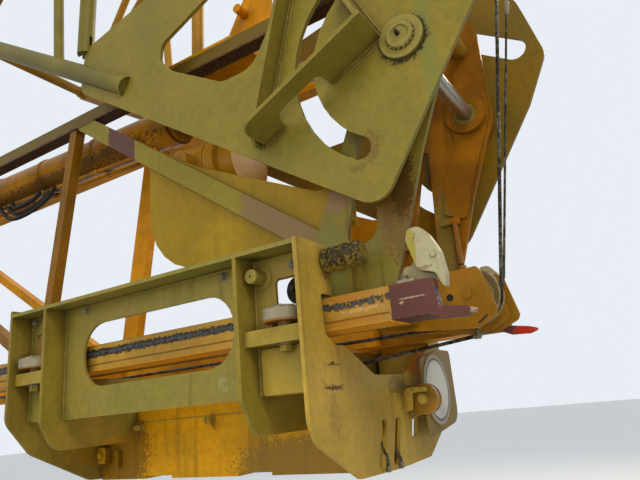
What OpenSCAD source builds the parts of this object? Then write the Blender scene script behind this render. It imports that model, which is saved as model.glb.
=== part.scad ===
// Head joint of a folding tower crane: the head of the mast, the foot of the jib
// hinged over it, and the guide frame that rolls along the mast's two rails.
// X runs along the mast towards its head, Y across it and Z up. The origin is on
// the mast's end face, at the height of the rails' centre line, midway between them.

/* [Guide rails] */
// Length of a guide rail, from the end frame to the claw
rail_len = 3655; // [3500:5:3800]
// Width of a guide rail, across the mast
rail_w = 110; // [90:2:120]
// Height of a guide rail
rail_h = 90; // [70:2:100]
// Clear distance between the two rails
rail_gap = 510; // [490:5:520]
// Depth of the fold line along a rail's outer face
fold_depth = 4; // [2:1:8]
// Length of a claw at the head end of a rail
claw_len = 125; // [100:5:160]
// Length of the tongue that sticks out of a claw
tongue_len = 86; // [60:2:110]

/* [Mast lattice] */
// Height of the top chords' upper face over the rails' centre line
chord_top = 1130; // [1080:5:1180]
// Size of the square chord tubes
chord = 60; // [50:2:66]
// Size of the square posts and diagonals
post = 45; // [35:1:50]
// Width of the far side's second post
far_post = 95; // [45:5:110]
// Distance from the end frame to the foot of the first post
post_start = 66; // [40:2:120]
// Distance from the first post to the second
bay = 1921; // [1800:5:2000]
// Lean of the posts from upright, in degrees
post_lean = 10; // [6:0.1:14]
// Thickness of the end frame
end_t = 20; // [12:1:30]
// Size of the cross bars between the two sides
cross_bar = 40; // [30:1:45]

/* [Mast head] */
// Thickness of a head plate
head_t = 15; // [10:1:20]
// Thickness of a gusset plate and of the doubler round the pin
gusset_t = 12; // [8:1:16]
// Width of the sloping strut, measured along the mast
strut_w = 125; // [100:5:140]
// Thickness of the sloping strut
strut_t = 25; // [16:1:30]
// Radius of the boss round the pin
boss_r = 72; // [60:2:80]
// Radius of the drum behind the gussets
drum_r = 143; // [120:1:150]
// Length of the drum
drum_len = 390; // [300:10:420]
// Radius of the ram's barrel
barrel_r = 85; // [70:1:88]
// Radius of the ram's rod
rod_r = 42; // [30:1:55]

/* [Sheave box] */
// Half the distance between the outer faces of the sheave box plates
box_half = 66; // [56:1:80]
// Thickness of a sheave box plate
box_t = 8; // [6:1:12]
// Radius of the rope sheave at its rim
sheave_r = 80; // [70:1:84]
// Diameter of the hoist rope
rope_d = 12; // [10:1:16]

/* [Guide frame] */
// Width of the guide frame over its outer edges
frame_w = 970; // [940:5:1020]
// Distance of the nose plate's front face from the mast's end face
nose_x = 3482; // [3440:2:3490]
// Length of the short bay behind the nose plate
front_bay = 207; // [195:1:230]
// Length of the long middle bay
middle_bay = 871; // [800:1:900]
// Length of the short bay at the rear
rear_bay = 204; // [195:1:230]
// Thickness of the ribs and of the nose plate
rib_t = 12; // [8:1:14]
// Thickness of the side plates
side_t = 10; // [6:1:12]
// Height of the guide frame's top over the rails' centre line
frame_top = 197; // [180:1:215]
// Depth of the centre box's bottom under the rails' centre line
frame_bottom = 438; // [420:1:450]
// Half the width of the centre box
centre_half = 74; // [62:1:84]

/* [Rollers] */
// Radius of a guide roller
roller_r = 58; // [45:1:58]
// Height of a guide roller
roller_h = 40; // [30:1:44]
// Radius of a guide roller's pin
roller_pin_r = 11; // [8:1:14]
// Radius of the rope roller on the nose plate
rope_roller_r = 48; // [40:1:52]
// Running gap at pins and rollers
run_gap = 0.3; // [0.2:0.05:0.5]
// Radius of the grooved end buffer
buffer_r = 36; // [28:1:40]

/* [Jib foot] */
// Distance of the jib's hinge pin from the mast's end face
pin_x = 3810; // [3800:1:3820]
// Height of the jib's hinge pin over the rails' centre line
pin_z = 735; // [725:1:750]
// Radius of the hinge pin
pin_r = 42; // [34:1:48]
// Rake of the jib foot from level when it is folded, in degrees
jib_rake = 33.8; // [32:0.1:36]
// Half the distance between the jib plates' inner faces
jib_half = 340; // [330:1:350]
// Thickness of a jib plate
jib_t = 15; // [10:1:20]
// Radius of the jib's lower chord tubes
jib_tube_r = 40; // [30:1:44]
// Radius of the arc slot's centre line round the hinge pin
arc_slot_r = 332; // [322:1:336]
// Width of the arc slot
arc_slot_w = 70; // [50:2:76]
// Standing height of the long rib on a jib plate
rib_stand = 69; // [50:1:80]
// Standing height of the shelf on a jib plate
shelf_stand = 137; // [110:1:145]
// Thickness of the plates welded on edge to a jib plate
stiffener_t = 12; // [8:1:16]

/* [Hidden] */
$fn = 48;

paint = "#8f8043";
bright_paint = "#c98a12";
maroon = "#70404a";
cream = "#cfc692";
steel = "#8d8d88";
cut = 1;

rail_in = rail_gap / 2;
rail_out = rail_in + rail_w;
half_h = rail_h / 2;
claw_x = end_t + rail_len;
claw_end = claw_x + claw_len;
lattice_out = rail_in - head_t;
lattice_in = lattice_out - chord;
gusset_out = lattice_out - strut_t;
chord_low = chord_top - chord;
lower_top = -half_h + chord;
post_rise = chord_low - lower_top;
post_run = post_rise * tan(post_lean);
chord_end = 3760;
head_foot_x = 3350;

rib_front = nose_x - rib_t;
front_rib_x = nose_x - front_bay;
rear_inner_x = front_rib_x - middle_bay;
rear_x = rear_inner_x - rear_bay;
frame_half = frame_w / 2;
roller_y = rail_out + run_gap + roller_r;
plate_y = rail_out + 25;
plate_out = plate_y + side_t;
front_roller_x = (front_rib_x + rib_front) / 2 + 13;
rear_roller_x = (rear_x + rear_inner_x - rib_t) / 2 - 31;
roller_z = -9;
bar_top = roller_z - 15;
bar_h = 42;
bar_w = 60;
box_lid = -frame_bottom + 208;
under_rail = -half_h - 15;
rope_roller_x = nose_x + 66;
rope_roller_z = -243;
rope_roller_y = 110;
rope_roller_w = 38;

sheave_x = 3790;
sheave_z = 38;
sheave_w = 44;
rope_r = rope_d / 2;
groove_r = sheave_r - rope_r;
axle_r = 14;
anchor_x = 3838;
anchor_z = 44;
anchor_r = 8;
boss_out = jib_half - run_gap;
tube_back = 2560;
pad_out = 4;

ram_foot = [90, 1127];
ram_head = [3826, 1008];
ram_eye_w = 100;
ram_pin_r = 28;
lug_t = 15;
drum_x = 2785;
drum_z = 737;
drum_shaft_r = 40;

latch_x = 93;
latch_z = 75;
latch_y = rail_in + 70;
latch_w = 30;
latch_pin_r = 9;

// A corner of an outline, rounded to the radius given with its point
function unit(v) = v / norm(v);
function xy(p) = [p[0], p[1]];
function corner(a, b, c) = b[2] == 0 ? [xy(b)] :
    let (u = unit(xy(a) - xy(b)), v = unit(xy(c) - xy(b)), half = acos(u * v) / 2,
         reach = min(b[2] / tan(half), 0.49 * norm(xy(a) - xy(b)), 0.49 * norm(xy(c) - xy(b))),
         r = reach * tan(half), mid = xy(b) + unit(u + v) * r / sin(half),
         p = xy(b) + u * reach - mid, q = xy(b) + v * reach - mid,
         start = atan2(p[1], p[0]), turn = atan2(p[0] * q[1] - p[1] * q[0], p * q),
         n = max(2, ceil(abs(turn) / 15)))
    [for (k = [0:n]) mid + r * [cos(start + turn * k / n), sin(start + turn * k / n)]];
function rounded(pts) = let (n = len(pts))
    [for (i = [0:n - 1]) each corner(pts[(i + n - 1) % n], pts[i], pts[(i + 1) % n])];
function both_sides(pts) =
    concat(pts, [for (i = [len(pts) - 1:-1:0]) [-pts[i][0], pts[i][1], pts[i][2]]]);

// A plate standing along the mast, from its outline in X and Z
module plate_xz(pts, y, t) {
    translate([0, y + t, 0]) rotate([90, 0, 0]) linear_extrude(t) polygon(rounded(pts));
}

// A plate standing across the mast, from its outline in Y and Z
module plate_yz(pts, x, t) {
    translate([x, 0, 0]) rotate([90, 0, 90]) linear_extrude(t) polygon(rounded(pts));
}

// A block from its lowest to its highest corner
module block(low, high) {
    translate(low) cube(high - low);
}

// A round bar along Y
module bar_y(x, z, r, y0, y1) {
    translate([x, y1, z]) rotate([90, 0, 0]) cylinder(h = y1 - y0, r = r);
}

// A round bar along X
module bar_x(y, z, r, x0, x1) {
    translate([x0, y, z]) rotate([0, 90, 0]) cylinder(h = x1 - x0, r = r);
}

module far() {
    mirror([0, 1, 0]) children();
}

// Guide rail: a square box rail with a fold line along its outer face
module rail() {
    fold_low = -half_h + 18;
    fold_h = 6;
    difference() {
        block([end_t, -rail_out, -half_h], [claw_x, -rail_in, half_h]);
        block([end_t - cut, -rail_out - cut, fold_low],
              [claw_x + cut, -rail_out + fold_depth, fold_low + fold_h]);
    }
}

module rail_near() { color(paint) rail(); }
module rail_far() { color(paint) far() rail(); }

// Claw: the rail's end block, with a bevelled face and a tongue below it
module claw() {
    bevel = 19;
    tip = claw_end + tongue_len;
    plate_xz([[claw_x, -half_h, 0], [claw_x, half_h, 0], [claw_end, half_h, 4],
              [claw_end + bevel, -half_h + 20, 4], [tip - 8, -half_h + 7, 3],
              [tip, -half_h - 11, 3], [claw_end, -half_h - 9, 4], [claw_x + 100, -half_h, 0]],
             -rail_out, rail_w);
}

module claw_near() { color(maroon) claw(); }
module claw_far() { color(maroon) far() claw(); }

// A bar in a lattice side, from its foot on the lower chord to its head at the top
// chord, sunk a little into both
module lattice_bar(foot_x, head_x, w = post) {
    sink = 5;
    lean = (head_x - foot_x) / post_rise;
    half = w / 2 * norm([1, lean]);
    low = foot_x - sink * lean;
    high = head_x + sink * lean;
    plate_xz([[low - half, lower_top - sink, 0], [low + half, lower_top - sink, 0],
              [high + half, chord_low + sink, 0], [high - half, chord_low + sink, 0]],
             -lattice_out, post);
}

// Side of the mast: top chord, lower chord, leaning posts and a diagonal, welded up.
// The second post is given with its width
module lattice(second_w) {
    foot_far = post_start + bay;
    second_x = foot_far + (second_w - post) / 2;
    block([end_t, -lattice_out, chord_low], [chord_end, -lattice_in, chord_top]);
    block([end_t, -rail_in, -half_h], [head_foot_x, -rail_in + chord, lower_top]);
    lattice_bar(post_start, post_start + post_run);
    lattice_bar(second_x, second_x + post_run, second_w);
    lattice_bar(foot_far, post_start + post_run);
}

module lattice_near() { color(paint) lattice(post); }
module lattice_far() { color(bright_paint) far() lattice(far_post); }

// Cross members between the two sides: bars along the lower chords and under the ram,
// and a bed on the top chords with a lobed plate, its stub pin and its ringed boss
module cross_bars() {
    inner = rail_in - chord;
    low_z = lower_top - 3 - cross_bar;
    post_in = lattice_out - post;
    ram_rest = 925;
    rest_x = post_start + (ram_rest - lower_top) * tan(post_lean);
    bed_t = 12;
    bed = [2690, 3110];
    bed_top = chord_top + bed_t;
    lobe_y = 60;
    ring_w = 12;
    color(bright_paint) {
        for (x = [post_start + bay / 2, post_start + bay, 2950])
            block([x - cross_bar / 2, -inner, low_z], [x + cross_bar / 2, inner, low_z + cross_bar]);
        block([rest_x - cross_bar / 3, -post_in, ram_rest - cross_bar / 2],
              [rest_x + cross_bar / 3, post_in, ram_rest + cross_bar / 2]);
        union() {
            block([bed[0], -lattice_out, chord_top], [bed[1], lattice_out, bed_top]);
            plate_xz([[bed[0], bed_top - 1, 0], [bed[0], 1320, 40], [2800, 1335, 60],
                      [2968, 1605, 70], [3102, 1605, 70], [3102, bed_top - 1, 0]], lobe_y, bed_t);
            bar_y(2957, 1493, 21, 0, lobe_y + 1);
            bar_y(2752, 1236, 46, -34, lobe_y + 1);
            for (k = [0:3])
                bar_y(2752, 1236, 53, -34 + 2 * k * ring_w, (2 * k + 1) * ring_w - 34);
        }
    }
}

// End frame: the plate frame that closes the mast's end, with the two lugs of the ram
module end_frame() {
    door_half = 150;
    door_low = 90;
    door_high = 960;
    lug_y = ram_eye_w / 2 + 3;
    color(paint) difference() {
        union() {
            block([0, -rail_out, -half_h], [end_t, rail_out, half_h]);
            block([0, -lattice_out, 0], [end_t, lattice_out, ram_foot[1] + 60]);
            for (side = [-1, 1])
                plate_xz([[end_t - 1, ram_foot[1] - 60, 0], [end_t - 1, ram_foot[1] + 60, 0],
                          [ram_foot[0] + 45, ram_foot[1] + 45, 45],
                          [ram_foot[0] + 45, ram_foot[1] - 45, 45]],
                         side > 0 ? lug_y : -lug_y - lug_t, lug_t);
        }
        plate_yz([[-door_half, door_low, 40], [-door_half, door_high, 40],
                  [door_half, door_high, 40], [door_half, door_low, 40]], -cut, end_t + 2 * cut);
        bar_y(ram_foot[0], ram_foot[1], ram_pin_r + run_gap, -lug_y - lug_t - cut, lug_y + lug_t + cut);
    }
}

// Head plate: the bored plate that holds the jib's pin, with its long opening,
// the spacer boss outside and the doubler inside
module head_plate() {
    inner_boss = -lattice_out + 3 * gusset_t;
    slot_low = 204;
    slot_high = 650;
    difference() {
        union() {
            plate_xz([[head_foot_x, -half_h, 0], [head_foot_x, lower_top, 0],
                      [head_foot_x + 63, 259, 0], [3471, 388, 0], [3773, chord_low - 10, 0],
                      [3640, chord_low - 10, 20], [3640, chord_top + 28, 20],
                      [3858, chord_top + 28, 50], [3897, 1076, 60],
                      [3899, 713, 120], [3784, 434, 60], [3711, 218, 60], [3656, 74, 0],
                      [3656, -half_h, 0]], -rail_in, head_t);
            bar_y(pin_x, pin_z, boss_r, -boss_out, -rail_in + cut);
            plate_xz([[3669, 386, 0], [3688, 506, 0], [3755, 634, 0], [3735, 735, 0],
                      [3760, 900, 20], [3830, 940, 20], [3885, 900, 20], [3888, 713, 100],
                      [3776, 444, 0], [3745, 350, 20]], -lattice_out - cut, gusset_t + cut);
            bar_y(pin_x, pin_z, boss_r, -lattice_out - cut, inner_boss);
        }
        plate_xz([[3510, slot_low, 30], [3622, slot_high, 8], [3642, slot_high, 12],
                  [3618, slot_low, 60]],
                 -rail_in - cut, head_t + 2 * cut);
        bar_y(pin_x, pin_z, pin_r + run_gap, -boss_out - cut, inner_boss + cut);
    }
}

module head_plate_near() { color(paint) head_plate(); }
module head_plate_far() { color(bright_paint) far() head_plate(); }

// Gusset: the big plate with a rounded lower corner, padded out to the head plate
module gusset() {
    back = 2640;
    front = 3530;
    low = 283;
    pad_w = 38;
    pad_h = 110;
    plate_xz([[back, 835, 10], [back, low, 255], [front, low, 10], [front, 420, 10],
              [3400, 428, 20], [2900, 668, 10]], -gusset_out, gusset_t);
    block([front - 4 - pad_w, -lattice_out, low + 12], [front - 4, -gusset_out, low + 12 + pad_h]);
}

module gusset_near() { color(paint) gusset(); }
module gusset_far() { color(bright_paint) far() gusset(); }

// Sloping strut from the top chord down to the head plate, on the near side only
module head_strut() {
    top_x = 2203;
    end_x = 3440;
    slope = 0.7136;
    top_right = top_x + strut_w - 14;
    color(paint) plate_xz([[top_x, chord_low, 0], [top_right, chord_low, 0],
        [end_x, chord_low - (end_x - top_right) * slope, 0],
        [end_x, chord_low - (end_x - top_right + strut_w) * slope, 0],
        [top_x + 12, chord_low - 18, 0]], -lattice_out, strut_t);
}

// Ram between the top chords: barrel, gland and rod, with an eye at each end
module ram() {
    run = ram_head - ram_foot;
    len = norm(run);
    barrel_start = 90;
    barrel_len = 2350;
    gland_len = 60;
    gland_grow = 8;
    color(bright_paint) union() {
        translate([ram_foot[0], 0, ram_foot[1]]) rotate([0, 90 - atan2(run[1], run[0]), 0]) {
            cylinder(h = barrel_start + 10, r = rod_r);
            translate([0, 0, barrel_start]) cylinder(h = barrel_len, r = barrel_r);
            translate([0, 0, barrel_start + barrel_len - 1])
                cylinder(h = gland_len, r = barrel_r + gland_grow);
            cylinder(h = len, r = rod_r);
        }
        bar_y(ram_foot[0], ram_foot[1], rod_r + 8, -ram_eye_w / 2, ram_eye_w / 2);
        bar_y(ram_foot[0], ram_foot[1], ram_pin_r, -ram_eye_w / 2 - 3 - lug_t, ram_eye_w / 2 + 3 + lug_t);
        bar_y(ram_head[0], ram_head[1], rod_r + 12, -ram_eye_w / 2, ram_eye_w / 2);
        bar_y(ram_head[0], ram_head[1], ram_pin_r, -lattice_out, lattice_out);
    }
}

// Drum between the gussets, banded at its end and fixed on a cross shaft
module drum() {
    first = drum_x - drum_len / 2;
    color(bright_paint) union() {
        bar_x(0, drum_z, drum_r, first, first + drum_len * 0.66);
        bar_x(0, drum_z, drum_r - 4, first, first + drum_len * 0.7);
        bar_x(0, drum_z, drum_r, first + drum_len * 0.68, first + drum_len * 0.8);
        bar_x(0, drum_z, drum_r - 25, first, first + drum_len);
        bar_y(drum_x, drum_z, drum_shaft_r, gusset_t - gusset_out, gusset_out - gusset_t);
    }
}

// Sheave box: two plates on a cross beam between the rails, with the sheave's axle
module sheave_box() {
    beam_x = 3560;
    beam_w = 70;
    beam_low = sheave_z - sheave_r - rope_r + 22;
    color(bright_paint) difference() {
        union() {
            for (side = [-1, 1])
                plate_xz([[beam_x - 60, -half_h + 10, 0], [beam_x - 60, half_h, 10],
                          [beam_x + 90, half_h, 30], [3740, 112, 12], [3828, 115, 10],
                          [3838, 96, 10], [3868, -18, 10], [3864, -34, 10], [3806, -64, 6]],
                         side > 0 ? box_half - box_t : -box_half, box_t);
            bar_y(anchor_x, anchor_z, anchor_r, box_half - 1, box_half + 42);
            block([beam_x, -lattice_out, beam_low], [beam_x + beam_w, lattice_out, half_h]);
            bar_y(sheave_x, sheave_z, axle_r, -box_half - 6, box_half + 6);
        }
        for (side = [-1, 1])
            bar_y(3736, 36, 11, side * box_half - 2 * box_t, side * box_half + 2 * box_t);
    }
}

// Rope sheave: a grooved wheel on the axle of the sheave box
module rope_sheave() {
    w = sheave_w / 2;
    hub = w + 10;
    bore = axle_r + run_gap;
    color(cream) translate([sheave_x, 0, sheave_z]) rotate([90, 0, 0]) rotate_extrude()
        polygon([[bore, -hub], [bore, hub], [30, hub], [30, 8], [groove_r - 12, 8],
                 [sheave_r, w], [sheave_r + 4, w], [groove_r, rope_r], [groove_r, -rope_r],
                 [sheave_r + 4, -w], [sheave_r, -w], [groove_r - 12, -8], [30, -8], [30, -hub]]);
}

// A rope swept along its path in X and Z; each point has its own radius
module swept_rope(path, y) {
    n = len(path);
    sides = 10;
    dirs = [for (i = [0:n - 1]) unit(xy(path[min(i + 1, n - 1)]) - xy(path[max(i - 1, 0)]))];
    pts = [for (i = [0:n - 1], k = [0:sides - 1]) let (a = 360 * k / sides, r = path[i][2])
        [path[i][0] - dirs[i][1] * r * cos(a), y + r * sin(a), path[i][1] + dirs[i][0] * r * cos(a)]];
    skin = [for (i = [0:n - 2], k = [0:sides - 1]) let (j = (k + 1) % sides)
        [i * sides + k, i * sides + j, (i + 1) * sides + j, (i + 1) * sides + k]];
    polyhedron(pts, concat([[for (k = [sides - 1:-1:0]) k]], skin,
                           [[for (k = [0:sides - 1]) (n - 1) * sides + k]]));
}

// Hoist ropes: one along the mast, round the sheave and up, one from an anchor pin up
module hoist_ropes() {
    lean = 9.3;
    rise = 990;
    socket = 60;
    bend_r = groove_r + rope_r + run_gap;
    up = [sin(lean), cos(lean)];
    off = [sheave_x, sheave_z] + bend_r * [cos(lean), -sin(lean)];
    fall_r = rope_r * 0.7;
    fall_y = box_half + 29;
    start = [anchor_x + 3, anchor_z + anchor_r + run_gap];
    color("#23211e") {
        swept_rope(concat([[end_t, sheave_z - bend_r, rope_r]],
            [for (a = [-90:9:-lean]) [sheave_x + bend_r * cos(a), sheave_z + bend_r * sin(a), rope_r]],
            [for (q = [[1, 1], [rise, 1], [rise + 2, 2], [rise + socket, 2]])
                [off[0] + up[0] * q[0], off[1] + up[1] * q[0], rope_r * q[1]]]), 0);
        swept_rope([[start[0], start[1], fall_r], [start[0] + 24, start[1] + 44, fall_r],
            for (q = [[rise - 44, 1], [rise - 42, 2], [rise + 12, 2]])
                [start[0] + 24 + q[0] * 0.188, start[1] + 44 + q[0] * 0.982, fall_r * q[1]]], fall_y);
    }
}

// Latch pieces are drawn from the root of the claw, at the middle of the rail's top
module latch_place() {
    translate([claw_x, -latch_y, half_h]) children();
}

// Latch lever: a thick plate that hooks over the end of the claw
module latch() {
    latch_place() difference() {
        plate_xz([[67, 148, 12], [91, 148, 14], [124, 95, 20], [153, 10, 8],
                  [137, -25, 6], [133, 0, 10], [85, 47, 8], [69, 95, 30]],
                 -latch_w / 2, latch_w);
        bar_y(latch_x, latch_z, latch_pin_r + run_gap, -latch_w, latch_w);
    }
}

module latch_near() { color(cream) latch(); }
module latch_far() { color(cream) far() latch(); }

// Latch bracket on the rail's head end: a base with two ears and the lever's pin
module latch_bracket() {
    ear_t = 8;
    ear_in = latch_w / 2 + 2;
    base_h = 12;
    heel = 15;
    pin_out = ear_in + ear_t + 5;
    latch_place() {
        for (side = [-1, 1])
            plate_xz([[heel, 0, 0], [heel, 20, 10], [latch_x - 12, latch_z + 18, 16],
                      [latch_x + 18, latch_z + 14, 16], [heel + 100, 0, 0]],
                     side > 0 ? ear_in : -ear_in - ear_t, ear_t);
        block([heel, -ear_in, 0], [heel + 50, ear_in, base_h]);
        bar_y(latch_x, latch_z, latch_pin_r, -pin_out, pin_out);
    }
}

module latch_bracket_near() { color(paint) latch_bracket(); }
module latch_bracket_far() { color(paint) far() latch_bracket(); }

// Outline of a rib over the whole width, open at the top for the rails
function rib_outline(bottom, inner_top) =
    [[-frame_half, frame_top, 0], [-frame_half, -205, 0], [-frame_half + 51, bottom, 60],
     [-centre_half, bottom, 0], [-centre_half, box_lid, 0], [centre_half, box_lid, 0],
     [centre_half, bottom, 0], [frame_half - 51, bottom, 60], [frame_half, -205, 0],
     [frame_half, frame_top, 0], [plate_y, frame_top, 0], [plate_y, inner_top, 20],
     [-plate_y, inner_top, 20], [-plate_y, frame_top, 0]];

module inner_rib(face) {
    plate_yz(rib_outline(-299, under_rail), face - rib_t, rib_t);
}

module rear_inner_rib() { color(paint) inner_rib(rear_inner_x); }
module front_inner_rib() { color(paint) inner_rib(front_rib_x); }

// Rear rib: closes the centre box's end, so its middle hangs lower
module rear_rib() {
    color(paint) plate_yz(both_sides([[0, -frame_bottom, 0], [131, -frame_bottom + 8, 60],
        [387, -308, 60], [frame_half, -194, 60], [frame_half, frame_top + 12, 0],
        [plate_y, frame_top + 12, 10], [plate_y, under_rail, 20], [0, under_rail, 0]]),
        rear_x - rib_t, rib_t);
}

// Nose plate: hooks over both rails, dips to a slanted throat and has rope slots
module nose_plate() {
    hook_in = rail_in + 60;
    hook_low = half_h + 13;
    slot_half = 21;
    slot_top = -289;
    slot_lean = 0.39;
    color(paint) difference() {
        plate_yz(both_sides([[0, -frame_bottom, 0], [256, -frame_bottom + 6, 20], [459, -325, 60],
            [frame_half, -275, 60], [frame_half, frame_top + 5, 4], [hook_in, frame_top + 5, 8],
            [hook_in, hook_low, 8], [rail_out + 16, hook_low, 8], [rail_out + 9, -half_h - 9, 10],
            [rail_out - 40, -80, 15], [277, -79, 20], [109, -159, 20], [0, -159, 0]]),
            rib_front, rib_t);
        for (slot = [[-73, -428], [25, -424], [158, -360]])
            let (y = slot[0], foot_y = slot[0] - (slot_top - slot[1]) * slot_lean)
                plate_yz([[foot_y - slot_half, slot[1], 14], [y - slot_half, slot_top, 14],
                          [y + slot_half, slot_top, 14], [foot_y + slot_half, slot[1], 14]],
                         rib_front - cut, rib_t + 2 * cut);
        bar_x(-351, -134, 10, rib_front - cut, nose_x + cut);
    }
}

// A panel of a side plate between two ribs, with its window cut to an outline
module side_panel(x0, x1, low, window) {
    difference() {
        block([x0, -plate_out, low], [x1, -plate_y, frame_top]);
        plate_xz(window, -plate_out - cut, side_t + 2 * cut);
    }
}

// Window for a roller: wide enough for the roller below, narrower above it
function roller_window(x) =
    let (wide = roller_r + 2, low = -28, step = roller_z + roller_h + 5, high = 120, back = 38)
    [[x - wide, low, 20], [x - wide, step, 8], [x - back, step, 8], [x - back, high, 16],
     [x + wide, high, 16], [x + wide, low, 20]];

// Side plates: three panels between the ribs, each under a top flange
module side_plate() {
    flange_t = 12;
    rear_end = rear_inner_x - rib_t;
    middle_end = front_rib_x - rib_t;
    slot = [rear_inner_x + 102, middle_end - 74];
    slot_low = -103;
    slot_high = 113;
    side_panel(rear_x, rear_end, -196, roller_window(rear_roller_x));
    side_panel(rear_inner_x, middle_end, -200,
               [[slot[0], slot_low, 100], [slot[0], slot_high, 100],
                [slot[1], slot_high, 100], [slot[1], slot_low, 100]]);
    side_panel(front_rib_x, rib_front, -196, roller_window(front_roller_x));
    for (ends = [[rear_x, rear_end], [rear_inner_x, middle_end], [front_rib_x, rib_front]])
        block([ends[0], -frame_half, frame_top - flange_t], [ends[1], -plate_out, frame_top]);
}

module side_plate_near() { color(paint) side_plate(); }
module side_plate_far() { color(paint) far() side_plate(); }

// Centre box: the hollow beam that joins the ribs under the ropes
module centre_box() {
    wall = 8;
    color(paint) difference() {
        block([rear_x, -centre_half, -frame_bottom], [rib_front, centre_half, box_lid]);
        block([rear_x - cut, -centre_half + wall, -frame_bottom + wall],
              [rib_front + cut, centre_half - wall, box_lid - wall]);
        for (x = [rear_x + 320, rear_x + 780])
            block([x - 70, -centre_half - cut, -frame_bottom - cut],
                  [x + 70, centre_half + cut, -frame_bottom + 10]);
    }
}

// Roller bracket: a bar between two ribs with a shouldered pin and a nut below
module roller_bracket(x0, x1, roller_x) {
    nut_h = 22;
    block([x0, -plate_out - bar_w, bar_top - bar_h], [x1, -plate_out, bar_top]);
    translate([roller_x, -roller_y, bar_top]) {
        cylinder(h = roller_z - bar_top - run_gap, r = roller_pin_r + 8);
        cylinder(h = roller_z - bar_top + roller_h + 2, r = roller_pin_r);
        translate([0, 0, -bar_h - nut_h]) cylinder(h = nut_h + 1, r = 1.6 * roller_pin_r, $fn = 6);
    }
}

module roller_bracket_side() {
    roller_bracket(rear_x, rear_inner_x - rib_t, rear_roller_x);
    roller_bracket(front_rib_x, rib_front, front_roller_x);
}

module roller_bracket_near() { color(paint) roller_bracket_side(); }
module roller_bracket_far() { color(paint) far() roller_bracket_side(); }

// Guide roller: a crowned wheel that rolls along a rail's outer face
module guide_roller(x) {
    bore = roller_pin_r + run_gap;
    color(steel) translate([x, -roller_y, roller_z]) rotate_extrude()
        polygon([[bore, 0], [bore, roller_h], [roller_r - 14, roller_h], [roller_r - 10, roller_h - 3],
                 [roller_r - 3, roller_h - 3], [roller_r, roller_h - 6], [roller_r, 6],
                 [roller_r - 4, 0]]);
}

module roller_rear_near() { guide_roller(rear_roller_x); }
module roller_front_near() { guide_roller(front_roller_x); }
module roller_rear_far() { far() guide_roller(rear_roller_x); }
module roller_front_far() { far() guide_roller(front_roller_x); }

// Sign plate: a blank round disc on a flat bracket, stood off the nose plate
module sign_plate() {
    gap = 38;
    t = 6;
    disc_r = 125;
    disc_y = 282;
    disc_z = -214;
    color(paint) {
        plate_yz([[disc_y - disc_r + 4, -370, 20], [disc_y - disc_r + 4, -110, 20],
                  [330, -75, 20], [frame_half - 20, -75, 20], [frame_half - 20, -330, 60]],
                 nose_x + gap, t);
        bar_x(disc_y, disc_z, disc_r, nose_x + gap + t - 1, nose_x + gap + t + 3);
        for (foot = [[200, -300], [420, -270]])
            bar_x(foot[0], foot[1], 12, nose_x, nose_x + gap + 1);
    }
}

// Bracket of the rope roller: a plate off the nose with the roller's pin
module rope_roller_bracket() {
    back_y = rope_roller_y + rope_roller_w / 2 + 3;
    t = 8;
    color(paint) union() {
        plate_xz([[nose_x, rope_roller_z - 60, 0], [nose_x, rope_roller_z + 45, 0],
                  [rope_roller_x + 10, rope_roller_z + 25, 25],
                  [rope_roller_x + 22, rope_roller_z - 30, 25]], back_y, t);
        bar_y(rope_roller_x, rope_roller_z, 12, rope_roller_y - rope_roller_w / 2 - 14, back_y + 1);
        bar_y(rope_roller_x, rope_roller_z, 18, rope_roller_y - rope_roller_w / 2 - 10,
              rope_roller_y - rope_roller_w / 2 - run_gap - 1);
    }
}

// Rope roller: a flanged roller that leads the ropes past the nose plate
module rope_roller() {
    w = rope_roller_w / 2;
    bore = 12 + run_gap;
    color(steel) translate([rope_roller_x, rope_roller_y, rope_roller_z]) rotate([90, 0, 0])
        rotate_extrude() polygon([[bore, -w], [bore, w], [rope_roller_r - 12, w],
            [rope_roller_r, w - 3], [rope_roller_r, w - 8], [rope_roller_r - 10, w - 14],
            [rope_roller_r - 10, -w + 14], [rope_roller_r, -w + 8], [rope_roller_r, -w + 3],
            [rope_roller_r - 12, -w]]);
}

// End buffer: a grooved rubber stop bolted to the nose plate's arm
module end_buffer() {
    lobes = 3;
    lobe_w = 38;
    y = -rail_in - 87;
    z = 155;
    lobe_d = 8;
    color("#4a4432") translate([nose_x, y, z]) rotate([0, 90, 0]) rotate_extrude()
        polygon(concat([[0, 0], [buffer_r - lobe_d, 0]],
            [for (k = [0:lobes - 1], a = [0:30:180])
                [buffer_r - lobe_d + lobe_d * sin(a), 6 + k * lobe_w + lobe_w * a / 180]],
            [[buffer_r - lobe_d, 12 + lobes * lobe_w], [0, 12 + lobes * lobe_w]]));
}

// Jib foot: placed about its pin, with its own length pointing back over the mast
module jib_place() {
    translate([pin_x, 0, pin_z]) rotate([0, jib_rake, 0]) children();
}

function st(pts) = [for (p = pts) [-p[0], p[1], p[2]]];

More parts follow.
